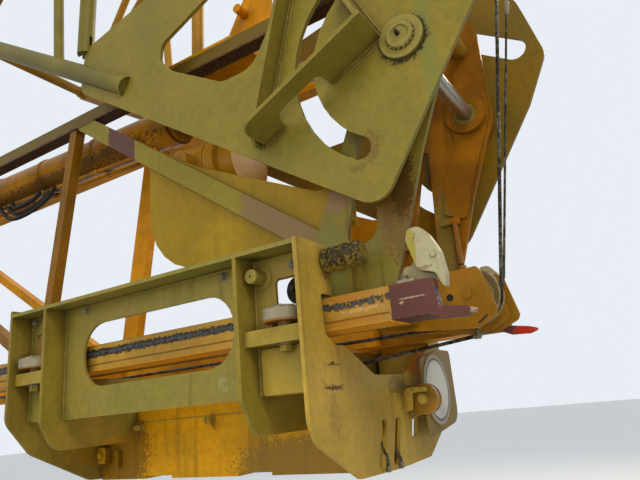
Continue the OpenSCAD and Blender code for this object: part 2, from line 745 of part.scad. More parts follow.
// Jib plate: bored for the pin, with a large window, an arc slot and a long slot
module jib_plate() {
    y = -jib_half - jib_t;
    deep = jib_t + 2 * cut;
    arc_from = -93;
    arc_to = 18;
    slot_t = 324;
    slot_r = 42;
    half_w = arc_slot_w / 2;
    difference() {
        plate_xz(st([[-160, -470, 70], [1400, -470, 60], [1440, -420, 40], [1500, -290, 40],
                     [690, 520, 60], [70, 520, 60], [15, 471, 60], [-134, 332, 60],
                     [-160, 133, 60]]), y, jib_t);
        plate_xz(st([[990, -249, 40], [1020, -186, 40], [700, 290, 90], [560, 290, 60],
                     [512, -41, 60], [512, -187, 90], [620, -260, 60], [899, -272, 40]]), y - cut, deep);
        bar_y(0, 0, pin_r + run_gap, y - cut, -jib_half + cut);
        plate_xz([for (a = [arc_to:-9:arc_from]) [-(arc_slot_r + half_w) * cos(a),
                   (arc_slot_r + half_w) * sin(a), 0], for (a = [arc_from:9:arc_to])
                   [-(arc_slot_r - half_w) * cos(a), (arc_slot_r - half_w) * sin(a), 0]],
                 y - cut, deep);
        for (a = [arc_from, arc_to])
            bar_y(-arc_slot_r * cos(a), arc_slot_r * sin(a), half_w, y - cut, -jib_half + cut);
        bar_y(17, slot_t, slot_r, y - cut, -jib_half + cut);
        bar_y(-208, slot_t, slot_r, y - cut, -jib_half + cut);
        block([-208, y - cut, slot_t - slot_r], [17, -jib_half + cut, slot_t + slot_r]);
    }
}

// A plate welded on edge to a jib plate, from one point of its root to another,
// with its outline given by the distance along the root and the standing height
module edge_plate(from, to, outline) {
    run = to - from;
    translate([-from[0], -jib_half - jib_t, from[1]]) rotate([0, -atan2(run[1], -run[0]), 0])
        linear_extrude(stiffener_t) polygon(rounded([for (p = outline) [p[0], -p[1], p[2]]]));
}

// Stiffeners on a jib plate: a long rib, and a shelf that bridges the arc slot
module jib_stiffeners() {
    foot = [312, -416];
    bend = [70, -12];
    lap = 4;
    shelf_end = norm(bend - foot) + lap;
    arch = shelf_stand - 64;
    return_end = [262, 103];
    return_len = norm(return_end - bend);
    edge_plate([320, -429], [521, 240], [[0, -1, 0], [0, rib_stand - 30, 0], [40, rib_stand, 20],
               [690, rib_stand, 20], [698, -1, 0]]);
    edge_plate(foot, bend, [[0, -1, 0], [0, shelf_stand, 45], [shelf_end, shelf_stand, 0],
               [shelf_end, -1, 0], [281, -1, 0], [275, arch, 20], [107, arch, 40], [87, -1, 0]]);
    edge_plate(bend, return_end, [[lap / 2, -1, 0], [lap / 2, shelf_stand - lap + 1, 0],
               [return_len, shelf_stand - 60, 20], [return_len, -1, 0]]);
}

module jib_plate_near() { color(paint) jib_place() union() { jib_plate(); jib_stiffeners(); } }
module jib_plate_far() { color(bright_paint) jib_place() far() union() { jib_plate(); jib_stiffeners(); } }

// Jib side beyond the plate: two chord tubes with leaning bars between them. The tubes
// and the first bar are slotted over the plate's edge
module jib_lattice() {
    mid = -jib_half - jib_t / 2;
    low_end = [1130, -382];
    reach = tube_back + 40;
    low_far = [reach, -422];
    high_t = 478;
    high_end = 640;
    bar_r = 22;
    outer = [tube_back, -421];
    pad = 34;
    difference() {
        union() {
            jib_bar(low_end, low_far, jib_tube_r, mid);
            jib_bar([high_end, high_t], [reach, high_t], jib_tube_r, mid);
            jib_bar([1500, -310], [1990, high_t], 34, mid);
            jib_bar([1665, -397], [2345, high_t], bar_r, mid);
            jib_bar(outer, [2345, high_t], bar_r, mid);
            jib_bar(outer, [2560, high_t], bar_r, mid);
        }
        block([-1540, -jib_half - jib_t, -460], [-low_end[0] + 9, -jib_half, -225]);
        block([-790, -jib_half - jib_t, high_t - 60], [-high_end + 9, -jib_half, high_t + 60]);
    }
    for (z = [outer[1], high_t])
        block([-outer[0] - pad, mid, z - pad], [-outer[0] + pad, mid + jib_tube_r + pad_out, z + pad]);
}

module jib_bar(a, b, r, y) {
    run = b - a;
    translate([-a[0], y, a[1]]) rotate([0, atan2(-run[0], run[1]), 0])
        cylinder(h = norm(run), r = r, $fn = 24);
}

module jib_lattice_near() { color(paint) jib_place() jib_lattice(); }
module jib_lattice_far() { color(bright_paint) jib_place() far() jib_lattice(); }

// Cross tubes between the two sides of the jib, ending on its plates and pads
module jib_cross_tubes() {
    reach = jib_half + jib_t / 2 - jib_tube_r - pad_out;
    color(bright_paint) jib_place() {
        for (p = [[1380, -296], [300, 425]])
            bar_y(-p[0], p[1], jib_tube_r, -jib_half, jib_half);
        for (z = [-421, 478])
            bar_y(-tube_back, z, 28, -reach, reach);
    }
}

// Hinge pin of the jib, with a round cover and a grease screw at each end
module jib_pin() {
    cover_r = 66;
    cover_t = 14;
    face = jib_half + jib_t;
    color(steel) jib_place() union() {
        bar_y(0, 0, pin_r, -face - cover_t, face + cover_t);
        for (side = [-1, 1]) {
            bar_y(0, 0, cover_r, side > 0 ? face : -face - cover_t, side > 0 ? face + cover_t : -face);
            bar_y(0, 0, 26, side > 0 ? face + cover_t - 1 : -face - cover_t - 8,
                  side > 0 ? face + cover_t + 8 : -face - cover_t + 1);
        }
    }
}

rail_near();
rail_far();
claw_near();
claw_far();
lattice_near();
lattice_far();
cross_bars();
end_frame();
head_plate_near();
head_plate_far();
gusset_near();
gusset_far();
head_strut();
ram();
drum();
sheave_box();
hoist_ropes();
rope_sheave();
latch_near();
latch_far();
latch_bracket_near();
latch_bracket_far();
rear_rib();
rear_inner_rib();
front_inner_rib();
nose_plate();
side_plate_near();
side_plate_far();
centre_box();
roller_bracket_near();
roller_bracket_far();
roller_rear_near();
roller_front_near();
roller_rear_far();
roller_front_far();
sign_plate();
rope_roller_bracket();
rope_roller();
end_buffer();
jib_plate_near();
jib_plate_far();
jib_lattice_near();
jib_lattice_far();
jib_cross_tubes();
jib_pin();
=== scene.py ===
"""Head joint of a folding tower crane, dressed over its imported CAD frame.

Lengths are in millimetres and turned to metres where a mesh or a node takes them. X runs
along the mast to its head, Y across it to the far side and Z up, from the mast's end face.
"""

import math

import bmesh
import bpy
from mathutils import Matrix, Vector, noise


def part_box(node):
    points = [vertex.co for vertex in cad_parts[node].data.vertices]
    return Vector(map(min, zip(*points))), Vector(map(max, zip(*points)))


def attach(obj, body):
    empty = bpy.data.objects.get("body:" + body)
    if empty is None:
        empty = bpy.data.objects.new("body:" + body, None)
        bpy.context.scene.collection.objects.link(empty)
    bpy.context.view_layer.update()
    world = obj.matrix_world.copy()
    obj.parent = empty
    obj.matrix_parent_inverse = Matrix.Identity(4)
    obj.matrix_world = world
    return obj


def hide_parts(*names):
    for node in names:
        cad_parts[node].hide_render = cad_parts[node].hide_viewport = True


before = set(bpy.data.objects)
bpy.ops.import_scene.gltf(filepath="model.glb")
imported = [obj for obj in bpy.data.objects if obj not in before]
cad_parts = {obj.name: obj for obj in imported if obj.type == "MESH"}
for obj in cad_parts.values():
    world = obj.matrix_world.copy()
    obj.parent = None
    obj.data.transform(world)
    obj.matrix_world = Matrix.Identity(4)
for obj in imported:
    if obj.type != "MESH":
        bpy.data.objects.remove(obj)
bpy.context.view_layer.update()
scene = bpy.context.scene
MM = 0.001


# ---------------------------------------------------------------- guide rails
# Two box rails that the guide frame rolls along. They are folded from 6 mm steel plate,
# welded shut and sprayed with the crane's yellow enamel, which the rollers have worn and
# covered with black grease along the middle of the outer faces.

def linear(code):
    """The linear colour of an sRGB hex value."""
    parts = [int(code[i:i + 2], 16) / 255 for i in (1, 3, 5)]
    return [p / 12.92 if p <= 0.04045 else ((p + 0.055) / 1.055) ** 2.4 for p in parts] + [1]


def add(tree, kind, inputs=None, **settings):
    """Adds a node, with its settings, and fills its inputs with values or links."""
    made = tree.nodes.new("ShaderNode" + kind)
    for key, value in settings.items():
        setattr(made, key, value)
    for key, value in (inputs or {}).items():
        if isinstance(value, bpy.types.NodeSocket):
            tree.links.new(value, made.inputs[key])
        else:
            made.inputs[key].default_value = value
    return made


def shaded(name):
    """A new material, its node tree and its shader."""
    made = bpy.data.materials.new(name)
    made.use_nodes = True
    return made, made.node_tree, made.node_tree.nodes["Principled BSDF"]


def crane_enamel(name, coat, aged, streaks=0.2, specks=0.3, edges=0.5, edge="#b9a055",
                 corner_shade=0.6, gloss=0.42, marks=()):
    """Alkyd enamel sprayed over primer, 60 to 80 microns thick, after years outdoors.

    To the eye it is a satin coat that fades in patches, with rain streaks, pinhead rust
    and thin or chipped paint along the edges. Corners and recesses are darkened as painted
    shade, and the paler edge colour is partly a painted highlight. Each mark is a patch
    with a centre and half sizes in mm, a colour, and how ragged and how strong it is.
    """
    paint, tree, shader = shaded(name)
    place = add(tree, "TexCoord").outputs["Object"]
    field = {}
    for key, size_mm, detail in (("fade", 340, 2), ("mottle", 26, 5), ("peel", 3.5, 1),
                                 ("pin", 5, 2), ("rag", 9, 4), ("cloud", 120, 3)):
        field[key] = add(tree, "TexNoise", {"Vector": place, "Scale": 1 / (size_mm * MM),
                                            "Detail": detail, "Roughness": 0.6}).outputs["Fac"]
    run = add(tree, "VectorMath", {0: place, 1: (34, 34, 2.4)}, operation="MULTIPLY").outputs[0]
    drip = add(tree, "TexNoise", {"Vector": run, "Scale": 1, "Detail": 4}).outputs["Fac"]

    faded = add(tree, "MapRange", {0: field["fade"], 1: 0.36, 2: 0.64},
                interpolation_type="SMOOTHSTEP").outputs[0]
    colour = add(tree, "Mix", {0: faded, 6: linear(coat), 7: linear(aged)},
                 data_type="RGBA").outputs[2]
    tone = add(tree, "MapRange", {0: field["mottle"], 1: 0.3, 2: 0.7, 3: 0.86, 4: 1.1}).outputs[0]
    colour = add(tree, "VectorMath", {0: colour, 3: tone}, operation="SCALE").outputs[0]
    runs = add(tree, "MapRange", {0: drip, 1: 0.54, 2: 0.78, 4: streaks},
               interpolation_type="SMOOTHSTEP").outputs[0]
    # Ambient occlusion darkens corners and recesses towards dark brown: painted shade.
    corner = add(tree, "AmbientOcclusion", {"Distance": 0.045}, samples=4).outputs["AO"]
    painted_corner_shade = add(tree, "MapRange", {0: corner, 1: 0.85, 2: 0.35, 4: corner_shade}).outputs[0]

    # Edges take the edge colour: chipped paint, and in part a painted highlight along the lit edges.
    soft = add(tree, "Bevel", {"Radius": 0.004}, samples=4).outputs[0]
    true = add(tree, "NewGeometry").outputs["Normal"]
    turn = add(tree, "VectorMath", {0: soft, 1: true}, operation="DOT_PRODUCT").outputs["Value"]
    worn = add(tree, "MapRange", {0: turn, 1: 0.995, 2: 0.86, 4: 1}).outputs[0]
    thin = add(tree, "MapRange", {0: field["rag"], 1: 0.42, 2: 0.6, 4: edges}).outputs[0]
    edge_wear_and_highlight = add(tree, "Math", {0: worn, 1: thin}, operation="MULTIPLY").outputs[0]

    rust = add(tree, "MapRange", {0: field["pin"], 1: 0.69, 2: 0.75, 4: specks}).outputs[0]
    cloudy = add(tree, "MapRange", {0: field["cloud"], 1: 0.45, 2: 0.62}).outputs[0]
    rust = add(tree, "Math", {0: rust, 1: cloudy}, operation="MULTIPLY").outputs[0]
    # Streaks, painted corner shade, pale edges and rust specks are mixed over the coat in turn.
    for share, code in ((runs, "#4d3c17"), (painted_corner_shade, "#3a2c12"), (edge_wear_and_highlight, edge), (rust, "#4a2814")):
        colour = add(tree, "Mix", {0: share, 6: colour, 7: linear(code)},
                     data_type="RGBA").outputs[2]

    rough = add(tree, "MapRange", {0: field["mottle"], 1: 0.2, 2: 0.8, 3: gloss - 0.08,
                                   4: gloss + 0.14}).outputs[0]
    for centre, half, mark_colour, ragged, strength in marks:
        away = add(tree, "VectorMath", {0: place, 1: Vector(centre) * MM},
                   operation="SUBTRACT").outputs[0]
        away = add(tree, "VectorMath", {0: away, 1: Vector(half) * MM},
                   operation="DIVIDE").outputs[0]
        reach = add(tree, "VectorMath", {0: away}, operation="LENGTH").outputs["Value"]
        rag = add(tree, "MapRange", {0: field["rag"], 1: 0.25, 2: 0.75, 3: -ragged, 4: ragged}).outputs[0]
        reach = add(tree, "Math", {0: reach, 1: rag}, operation="ADD").outputs[0]
        inside = add(tree, "MapRange", {0: reach, 1: 1.04, 2: 0.93 - ragged / 3, 4: strength},
                     interpolation_type="SMOOTHSTEP").outputs[0]
        colour = add(tree, "Mix", {0: inside, 6: colour, 7: linear(mark_colour)},
                     data_type="RGBA").outputs[2]

    height = field["peel"]
    for relief, how in ((field["mottle"], "ADD"), (edge_wear_and_highlight, "SUBTRACT"), (rust, "ADD")):
        height = add(tree, "Math", {0: height, 1: relief}, operation=how).outputs[0]
    bump = add(tree, "Bump", {"Strength": 0.22, "Distance": 0.0012, "Height": height}).outputs[0]
    tree.links.new(colour, shader.inputs["Base Color"])
    tree.links.new(rough, shader.inputs["Roughness"])
    tree.links.new(bump, shader.inputs["Normal"])
    shader.inputs["Specular IOR Level"].default_value = 0.2
    return paint


def round_edges(made, width_mm, sharper_than=30.0, harden=False):
    """Rounds a piece's edges where they turn by more than an angle in degrees."""
    soften = made.modifiers.new("edge", "BEVEL")
    soften.width = width_mm * MM
    soften.segments = 2
    soften.limit_method = "ANGLE"
    soften.angle_limit = math.radians(sharper_than)
    soften.harden_normals = harden


def dress(finish, *nodes, round_mm=1.5):
    """Gives CAD nodes their finish and rounds their long edges a little."""
    for name in nodes:
        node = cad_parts[name]
        node.data.materials.clear()
        node.data.materials.append(finish)
        node.data.set_sharp_from_angle(angle=math.radians(32))
        round_edges(node, round_mm, 38, True)


def in_scene(name, data):
    """A new object of that data, linked to the scene."""
    made = bpy.data.objects.new(name, data)
    scene.collection.objects.link(made)
    return made


def piece(name, mesh, finish, body, round_mm=0):
    """Turns a bmesh in millimetres into a named piece that rides on a body."""
    bmesh.ops.recalc_face_normals(mesh, faces=mesh.faces)
    data = bpy.data.meshes.new(name)
    mesh.to_mesh(data)
    mesh.free()
    data.transform(Matrix.Scale(MM, 4))
    data.materials.append(finish)
    for face in data.polygons:
        face.use_smooth = True
    data.set_sharp_from_angle(angle=math.radians(34))
    made = in_scene(name, data)
    if round_mm:
        round_edges(made, round_mm)
    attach(made, body)
    return made


def frame_along(direction):
    """Two directions square to the one given, and that one."""
    ahead = Vector(direction).normalized()
    side = ahead.cross(Vector((0, 0, 1) if abs(ahead.z) < 0.9 else (1, 0, 0))).normalized()
    return side, ahead.cross(side), ahead


def ring_of(mesh, centre, side, up, radius, count):
    """A ring of vertices round a centre."""
    return [mesh.verts.new(centre + side * radius * math.cos(math.tau * k / count)
                           + up * radius * math.sin(math.tau * k / count))
            for k in range(count)]


def skin(mesh, first, second):
    """Faces that join two rings of as many vertices."""
    for k in range(len(first)):
        mesh.faces.new((first[k - 1], first[k], second[k], second[k - 1]))


def swept(mesh, path, radius, count, ripple=None):
    """A closed tube along a path; ripple gives each step's share of the radius."""
    points = [Vector(p) for p in path]
    side, up, ahead = frame_along(points[1] - points[0])
    last = None
    for i, point in enumerate(points):
        way = (points[min(i + 1, len(points) - 1)] - points[max(i - 1, 0)]).normalized()
        bend = ahead.rotation_difference(way)
        side, up, ahead = bend @ side, bend @ up, way
        loop = ring_of(mesh, point, side, up, radius * (ripple(i) if ripple else 1), count)
        if last:
            skin(mesh, last, loop)
        else:
            mesh.faces.new(loop)
        last = loop
    mesh.faces.new(last)


def weld(mesh, path, width=6.0):
    """A hand-laid weld bead along straight runs, with the ripple of its weave."""
    weave = 4.5
    points = [Vector(p) for p in path]
    steps = []
    for a, b in zip(points, points[1:]):
        count = max(2, int((b - a).length / weave))
        steps += [a.lerp(b, k / count) for k in range(count)]
    steps.append(points[-1])
    swept(mesh, steps, width / 2, 6,
          ripple=lambda i: 0.86 + 0.16 * (i % 2) + 0.22 * (noise.noise(steps[i] * 0.03)))


rail_enamel = crane_enamel(
    "greased_rail_enamel", "#c2993a", "#aa8536", specks=0.8, edges=0.7, edge="#c98d2c",
    marks=[((1900, 0, 16), (2600, 900, 17), "#1f1d19", 0.32, 0.98),
           # The grey streaks inside the black grease band are painted sheen.
           ((1900, 0, 15), (2600, 900, 9), "#5c6166", 0.95, 0.6),
           # The bright orange band along each rail's underside is painted light coming up from below.
           ((1900, 0, -47), (2600, 900, 4), "#f7a512", 0.2, 0.97),
           ((1900, 0, 46), (2600, 900, 4), "#6f5a33", 0.4, 0.8),
           ((3562, 0, 38), (84, 900, 17), "#a9772a", 0.3, 0.95),
           ((3560, 0, -30), (120, 900, 14), "#ad7420", 0.4, 0.8),
           ((3600, 0, -3), (70, 900, 6), "#c9a26c", 0.9, 0.7)])
dress(rail_enamel, "rail_near", "rail_far", round_mm=1.2)

# ---------------------------------------------------------------- claws
# The hooked end block of each rail, burnt out of 110 mm of laminated plate, ground to a bevel
# and welded on. It still has its maroon primer; the bevel is bare, bruised steel.
SIDES = {"near": -1, "far": 1}
RAIL_IN, RAIL_Y, RAIL_HALF = 255, 365, 45
CLAW_X, BEVEL_X, TONGUE_T = 3675, 3764, 30
claw_primer = crane_enamel(
    "claw_maroon_primer", "#643b37", "#58342b", streaks=0.1, specks=0.35, edges=0.85, edge="#a98872",
    marks=[((3803, 0, 12), (5, 900, 40), "#25272a", 0.5, 0.95),
           ((3804, 0, 4), (4, 900, 34), "#8f8f8a", 0.9, 0.8),
           ((3886, 0, -50), (10, 900, 12), "#b9a596", 0.5, 0.9),
           ((3740, -365, 4), (34, 12, 2.2), "#bda692", 0.7, 0.8),
           ((3705, -365, -6), (7, 12, 4), "#c89a74", 0.5, 0.8),
           ((3870, 350, -50), (60, 60, 40), "#c8301c", 0.3, 0.9)])


def burnt(mesh, outline, y0, y1):
    """A plate burnt to an outline in X and Z, standing from one Y to the other. Each
    corner is (x, z) or (x, z, radius)."""
    corners = []
    for i, spot in enumerate(outline):
        here = Vector(spot[:2])
        if len(spot) == 2:
            corners.append(here)
            continue
        before = Vector(outline[i - 1][:2]) - here
        after = Vector(outline[(i + 1) % len(outline)][:2]) - here
        half = before.angle(after) / 2
        reach = min(spot[2] / math.tan(half), 0.49 * before.length, 0.49 * after.length)
        start, end = here + before.normalized() * reach, here + after.normalized() * reach
        for k in range(7):
            f = k / 6
            corners.append(start * (1 - f) ** 2 + here * 2 * f * (1 - f) + end * f ** 2)
    near, other = ([mesh.verts.new((c.x, y, c.y)) for c in corners] for y in (y0, y1))
    mesh.faces.new(near)
    mesh.faces.new(other)
    skin(mesh, near, other)


# Only the outer plate of each claw reaches out as a tongue; the rest stops behind its bevel.
for word, side in SIDES.items():
    hook = bmesh.new()
    burnt(hook, [(CLAW_X, -RAIL_HALF), (CLAW_X, RAIL_HALF), (3797, RAIL_HALF, 4), (3804, -28, 5),
                 (3862, -38, 12), (3890, -47, 5), (3884, -55, 4), (3862, -62, 6), (3800, -58, 10),
                 (3772, -RAIL_HALF)], side * (RAIL_Y - TONGUE_T), side * RAIL_Y)
    burnt(hook, [(CLAW_X, -RAIL_HALF), (CLAW_X, RAIL_HALF), (BEVEL_X, RAIL_HALF, 4),
                 (BEVEL_X, -RAIL_HALF, 4)], side * RAIL_IN, side * (RAIL_Y - TONGUE_T + 1))
    ground = piece(f"claw_{word}_ground", hook, claw_primer, "mast", 2.5)
    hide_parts(f"claw_{word}")

seam = bmesh.new()
for side in (-1, 1):
    inner, outer, top = side * (RAIL_IN + 1), side * (RAIL_Y + 1), RAIL_HALF + 1
    weld(seam, [(CLAW_X, inner, top), (CLAW_X, outer, top), (CLAW_X, outer, -28)], 5)
    weld(seam, [(CLAW_X, outer, -top), (CLAW_X, inner, -top)], 5)
piece("claw_seams", seam, rail_enamel, "mast")


# ---------------------------------------------------------------- mast lattice
# Sides of the mast, welded up from square tube: a heavy top chord, a lower chord along the
# rail, leaning posts and a long diagonal. Sprayed in one coat; the far side is painted bright
# orange as light where the sun comes through, and the near top chord's outer face is painted
# olive as shade.
LATTICE_Y, CHORD_LOW, LOWER_TOP, POST = 240, 1070, 15, 45
lattice_enamel = crane_enamel(
    "mast_lattice_enamel", "#916303", "#7b5303", streaks=0.3, edge="#c39a45",
    # The near top chord's outer face is painted olive as shade.
    marks=[((1900, -240, 1106), (3300, 120, 46), "#6c5c22", 0.06, 0.92),
           ((1900, -210, 1068), (3300, 120, 13), "#5b3413", 0.8, 0.85),
           ((1900, -210, 1068), (3300, 120, 5), "#2e1a0c", 0.9, 0.8)])
dress(lattice_enamel, "lattice_near", round_mm=3)
# The far pieces' bright orange is the yellow enamel painted as sunlit; its one mark paints the far side
# plate's outer face olive as shade.
painted_sunlit_enamel = crane_enamel(
    "far_enamel_painted_sunlit", "#f4a602", "#cf8c03", specks=0.2, edge="#dcae4c", corner_shade=0.5,
    marks=[((2850, 412, 0), (1600, 13, 900), "#94813a", 0.02, 0.95)])
dress(painted_sunlit_enamel, "lattice_far", "cross_bars", round_mm=2)

# Each leaning bar's foot and head in X, its width and the sides that have it.
seam = bmesh.new()
leaning_bars = ((66, 252, POST, (-1, 1)), (1987, 2173, POST, (-1,)), (2012, 2198, 95, (1,)),
                (1987, 252, POST, (-1, 1)))
for foot_x, head_x, width, sides in leaning_bars:
    lean = (head_x - foot_x) / (CHORD_LOW - LOWER_TOP)
    half = width / 2 * math.hypot(1, lean)
    for x, z in ((foot_x, LOWER_TOP), (head_x, CHORD_LOW)):
        for side in sides:
            out, back = side * LATTICE_Y, side * (LATTICE_Y - POST)
            weld(seam, [(x - half, out, z), (x + half, out, z), (x + half, back, z),
                        (x - half, back, z), (x - half, out, z)], 7)
piece("lattice_seams", seam, lattice_enamel, "mast")

end_enamel = crane_enamel("end_frame_enamel", "#9a8440", "#857637", streaks=0.5, specks=0.5)
dress(end_enamel, "end_frame", round_mm=1.2)


def turned(mesh, profile, origin, axis, steps):
    """A body of revolution from (radius, height) pairs along an axis."""
    side, up, ahead = frame_along(axis)
    last = None
    for radius, rise in profile:
        centre = Vector(origin) + ahead * rise
        loop = [mesh.verts.new(centre)] if radius == 0 else \
            ring_of(mesh, centre, side, up, radius, steps)
        if last and len(last) > 1 and len(loop) > 1:
            skin(mesh, last, loop)
        elif last:
            rim, tip = (last, loop[0]) if len(last) > 1 else (loop, last[0])
            for k in range(len(rim)):
                mesh.faces.new((rim[k - 1], rim[k], tip))
        last = loop


def hex_bolt(mesh, at, axis, across, washer=True, tail=0.0):
    """A hexagon head with a rounded crown, on its washer, with a stub of thread beyond."""
    base = 3 if washer else 0
    if washer:
        turned(mesh, [(0, 0), (across * 0.95, 0), (across * 0.95, 2.4), (0, 2.4)], at, axis, 28)
    side, up, ahead = frame_along(axis)
    lift = Vector(at) + ahead * base
    flat, crown = across / math.sqrt(3), across * 0.6
    rings = [ring_of(mesh, lift + ahead * h, side, up, r, 6) for r, h in
             ((flat, 0), (flat, crown * 0.85), (flat * 0.86, crown))]
    skin(mesh, rings[0], rings[1])
    skin(mesh, rings[1], rings[2])
    mesh.faces.new(rings[0])
    mesh.faces.new(rings[2])
    if tail:
        turned(mesh, [(0, crown), (across * 0.3, crown)] + [
            (across * (0.3 if k % 2 else 0.26), crown + tail * k / 8) for k in range(1, 9)]
            + [(0, crown + tail)], lift, axis, 16)


# The end frame is bolted up to the next section through eight holes round its door.
END_PLATE_T, END_BOLT_Y = 20, 190
bolts = bmesh.new()
for side in (-1, 1):
    for z in (160, 420, 680, 940):
        hex_bolt(bolts, (END_PLATE_T, side * END_BOLT_Y, z), (1, 0, 0), 30, tail=14)
bolt_steel = crane_enamel("zinc_plated_bolts", "#8a8468", "#6f6a55", streaks=0.35, specks=0.9, edges=0.8,
                          edge="#b5b1a2", gloss=0.36)
piece("end_frame_bolts", bolts, bolt_steel, "mast")


# ---------------------------------------------------------------- mast head
# Bored head plates with a boss for the jib's pin, the big gussets behind them, and the
# sloping strut. Rust washes down the near plate from under the jib; the strut still shows
# where maroon primer was touched up.
HEAD_Y, PIN = 255, Vector((3810, 0, 735))
# The near head plate's olive is the yellow enamel painted as it looks in shade.
head_enamel = crane_enamel(
    "near_head_enamel_painted_shade", "#8c7e32", "#7f7831", streaks=0.75, specks=0.7, edge="#c2a457", corner_shade=0.8,
    marks=[((3690, -250, 400), (64, 60, 330), "#6b431f", 0.3, 0.6),
           ((3704, -250, 440), (46, 60, 210), "#43260f", 0.35, 0.6),
           ((3640, -250, 330), (26, 60, 190), "#7a5224", 0.4, 0.5),
           ((3490, -250, 400), (60, 60, 84), "#8f6d55", 0.25, 0.8),
           ((3455, -250, 160), (60, 60, 140), "#7c8040", 0.3, 0.7)])
dress(head_enamel, "head_plate_near")
# The far head plate's dark orange is the same enamel painted darker as shade.
far_enamel = crane_enamel(
    "far_head_enamel_painted_shade", "#ac7003", "#7c4f04", streaks=0.35, specks=0.35, edge="#c99a3c",
    marks=[((3660, 240, 200), (40, 80, 300), "#7d7a3c", 0.4, 0.7)])
dress(far_enamel, "head_plate_far")

gusset_enamel = crane_enamel("gusset_enamel", "#ab8d16", "#9a7e14", specks=0.25,
                             edge="#c7a64a", corner_shade=0.45)
dress(gusset_enamel, "gusset_near")
dress(painted_sunlit_enamel, "gusset_far")

strut_enamel = crane_enamel(
    "strut_enamel", "#9b8e30", "#91842d", streaks=0.15, specks=0.25, edge="#c4a75a",
    marks=[((2497, -228, 940), (84, 900, 900), "#643f3f", 0.06, 0.95),
           ((3260, -228, 300), (150, 900, 900), "#8f6f58", 0.12, 0.7)])
dress(strut_enamel, "head_strut")

seam = bmesh.new()
for side in (-1, 1):
    out = side * HEAD_Y
    weld(seam, [(3350, out, 46), (3656, out, 46)], 7)
    turned(seam, [(72, -1), (80, 0), (76, 6), (72, 8)], (PIN.x, out, PIN.z), (0, side, 0), 48)
    for x in (3488, 3526):
        weld(seam, [(x, side * 239, 295), (x, side * 239, 405)], 6)
weld(seam, [(2203, -241, 1069), (2314, -241, 1069)], 7)
weld(seam, [(3440, -241, 268), (3440, -241, 178)], 7)
piece("head_seams", seam, head_enamel, "mast")

# On the far plate a little bracket carries a threaded jacking rod.
ROD_X, ROD_Y, ROD_TOP, ROD_LOW, PITCH = 3703, 221, 345, 186, 5
rod_top = bmesh.new()
burnt(rod_top, [(3652, 341, 3), (3652, 363, 8), (3724, 363, 8), (3724, 336, 6), (3708, 336, 4),
                (3702, 341, 3)], 212, 240)
piece("rod_bracket", rod_top, far_enamel, "mast", 1.5)
rod = bmesh.new()
swept(rod, [(ROD_X, ROD_Y, ROD_TOP - PITCH / 2 * k) for k in range(62)], 11, 18,
      ripple=lambda i: 1 - 0.12 * (i % 2))
turned(rod, [(0, 0), (16, 0), (16, 12), (0, 12)], (ROD_X, ROD_Y, ROD_LOW), (0, 0, -1), 6)
rod_rust = crane_enamel("rusty_thread", "#a8722a", "#7b4c1e", specks=1, edge="#c79a5a")
piece("jacking_rod", rod, rod_rust, "mast")


# ---------------------------------------------------------------- ram and drum
# The luffing ram lies between the top chords: a drawn steel barrel with a screwed gland and
# a ground rod. The fixed drum behind the gussets is rolled plate with welded bands.
RAM_FOOT, RAM_HEAD = Vector((90, 0, 1127)), Vector((3826, 0, 1008))
ram_way = (RAM_HEAD - RAM_FOOT).normalized()
ram_enamel = crane_enamel(
    "ram_barrel_enamel", "#c98b06", "#9a6704", streaks=0.15, specks=0.25, edge="#d6ac4e", gloss=0.34,
    marks=[((1750, 0, 1010), (1000, 900, 36), "#33240f", 0.9, 0.75),
           ((3400, 0, 1020), (870, 900, 46), "#a88a34", 0.05, 0.9)])
dress(ram_enamel, "ram", round_mm=1.2)
drum_enamel = crane_enamel("drum_enamel", "#c28812", "#a27617", streaks=0.1, edge="#d9ae4c", gloss=0.36)
dress(drum_enamel, "drum", round_mm=1.2)

# Black rubber; the same dark finish also paints the shade inside a hole and a slot on the sheave box.
rubber_and_hole_shade = crane_enamel("hydraulic_hose_rubber", "#24221f", "#312d27", streaks=0, specks=0.2,
                           edges=0.1, edge="#3d3a35", gloss=0.55)
# Two oil lines run under the barrel in clips, and three hoses loop down from it.
LINE_Y, LINE_DROP = 34, 101
lines = bmesh.new()
for y in (-LINE_Y, LINE_Y):
    run = [RAM_FOOT + ram_way * s + Vector((0, y, -LINE_DROP)) for s in range(240, 2401, 40)]
    swept(lines, run, 8, 10)
piece("ram_oil_lines", lines, ram_enamel, "mast")
clips = bmesh.new()
for s in range(300, 2400, 420):
    turned(clips, [(86, -14), (90, -12), (90, 12), (86, 14)], RAM_FOOT + ram_way * s, ram_way, 40)
    for y in (-LINE_Y, LINE_Y):
        spot = RAM_FOOT + ram_way * s + Vector((0, y, -LINE_DROP))
        turned(clips, [(0, -13), (13, -12), (13, 12), (0, 13)], spot, ram_way, 16)
piece("ram_line_clips", clips, ram_enamel, "mast")
hoses = bmesh.new()
for y, sag, start, end in ((-60, 122, 1160, 1660), (-50, 92, 1220, 1600), (-66, 66, 1280, 1540)):
    loop = []
    for k in range(37):
        f = k / 36
        s = start + (end - start) * f
        loop.append(RAM_FOOT + ram_way * s + Vector((0, y + 18 * math.cos(math.tau * f),
                                                     -100 - sag * math.sin(math.pi * f) ** 0.8)))
    swept(hoses, loop, 11, 12)
piece("ram_hoses", hoses, rubber_and_hole_shade, "mast")
gland = bmesh.new()
gland_at = RAM_FOOT + ram_way * 2499
turned(gland, [(44, 0), (78, 0), (82, 4), (82, 22), (76, 26), (50, 30), (44, 34)],
       gland_at, ram_way, 40)
side, up, _ = frame_along(ram_way)
for k in range(8):
    turn = math.tau * k / 8
    hex_bolt(gland, gland_at + ram_way * 24 + (side * math.cos(turn) + up * math.sin(turn)) * 64,
             ram_way, 14, washer=False)
piece("ram_gland", gland, ram_enamel, "mast")


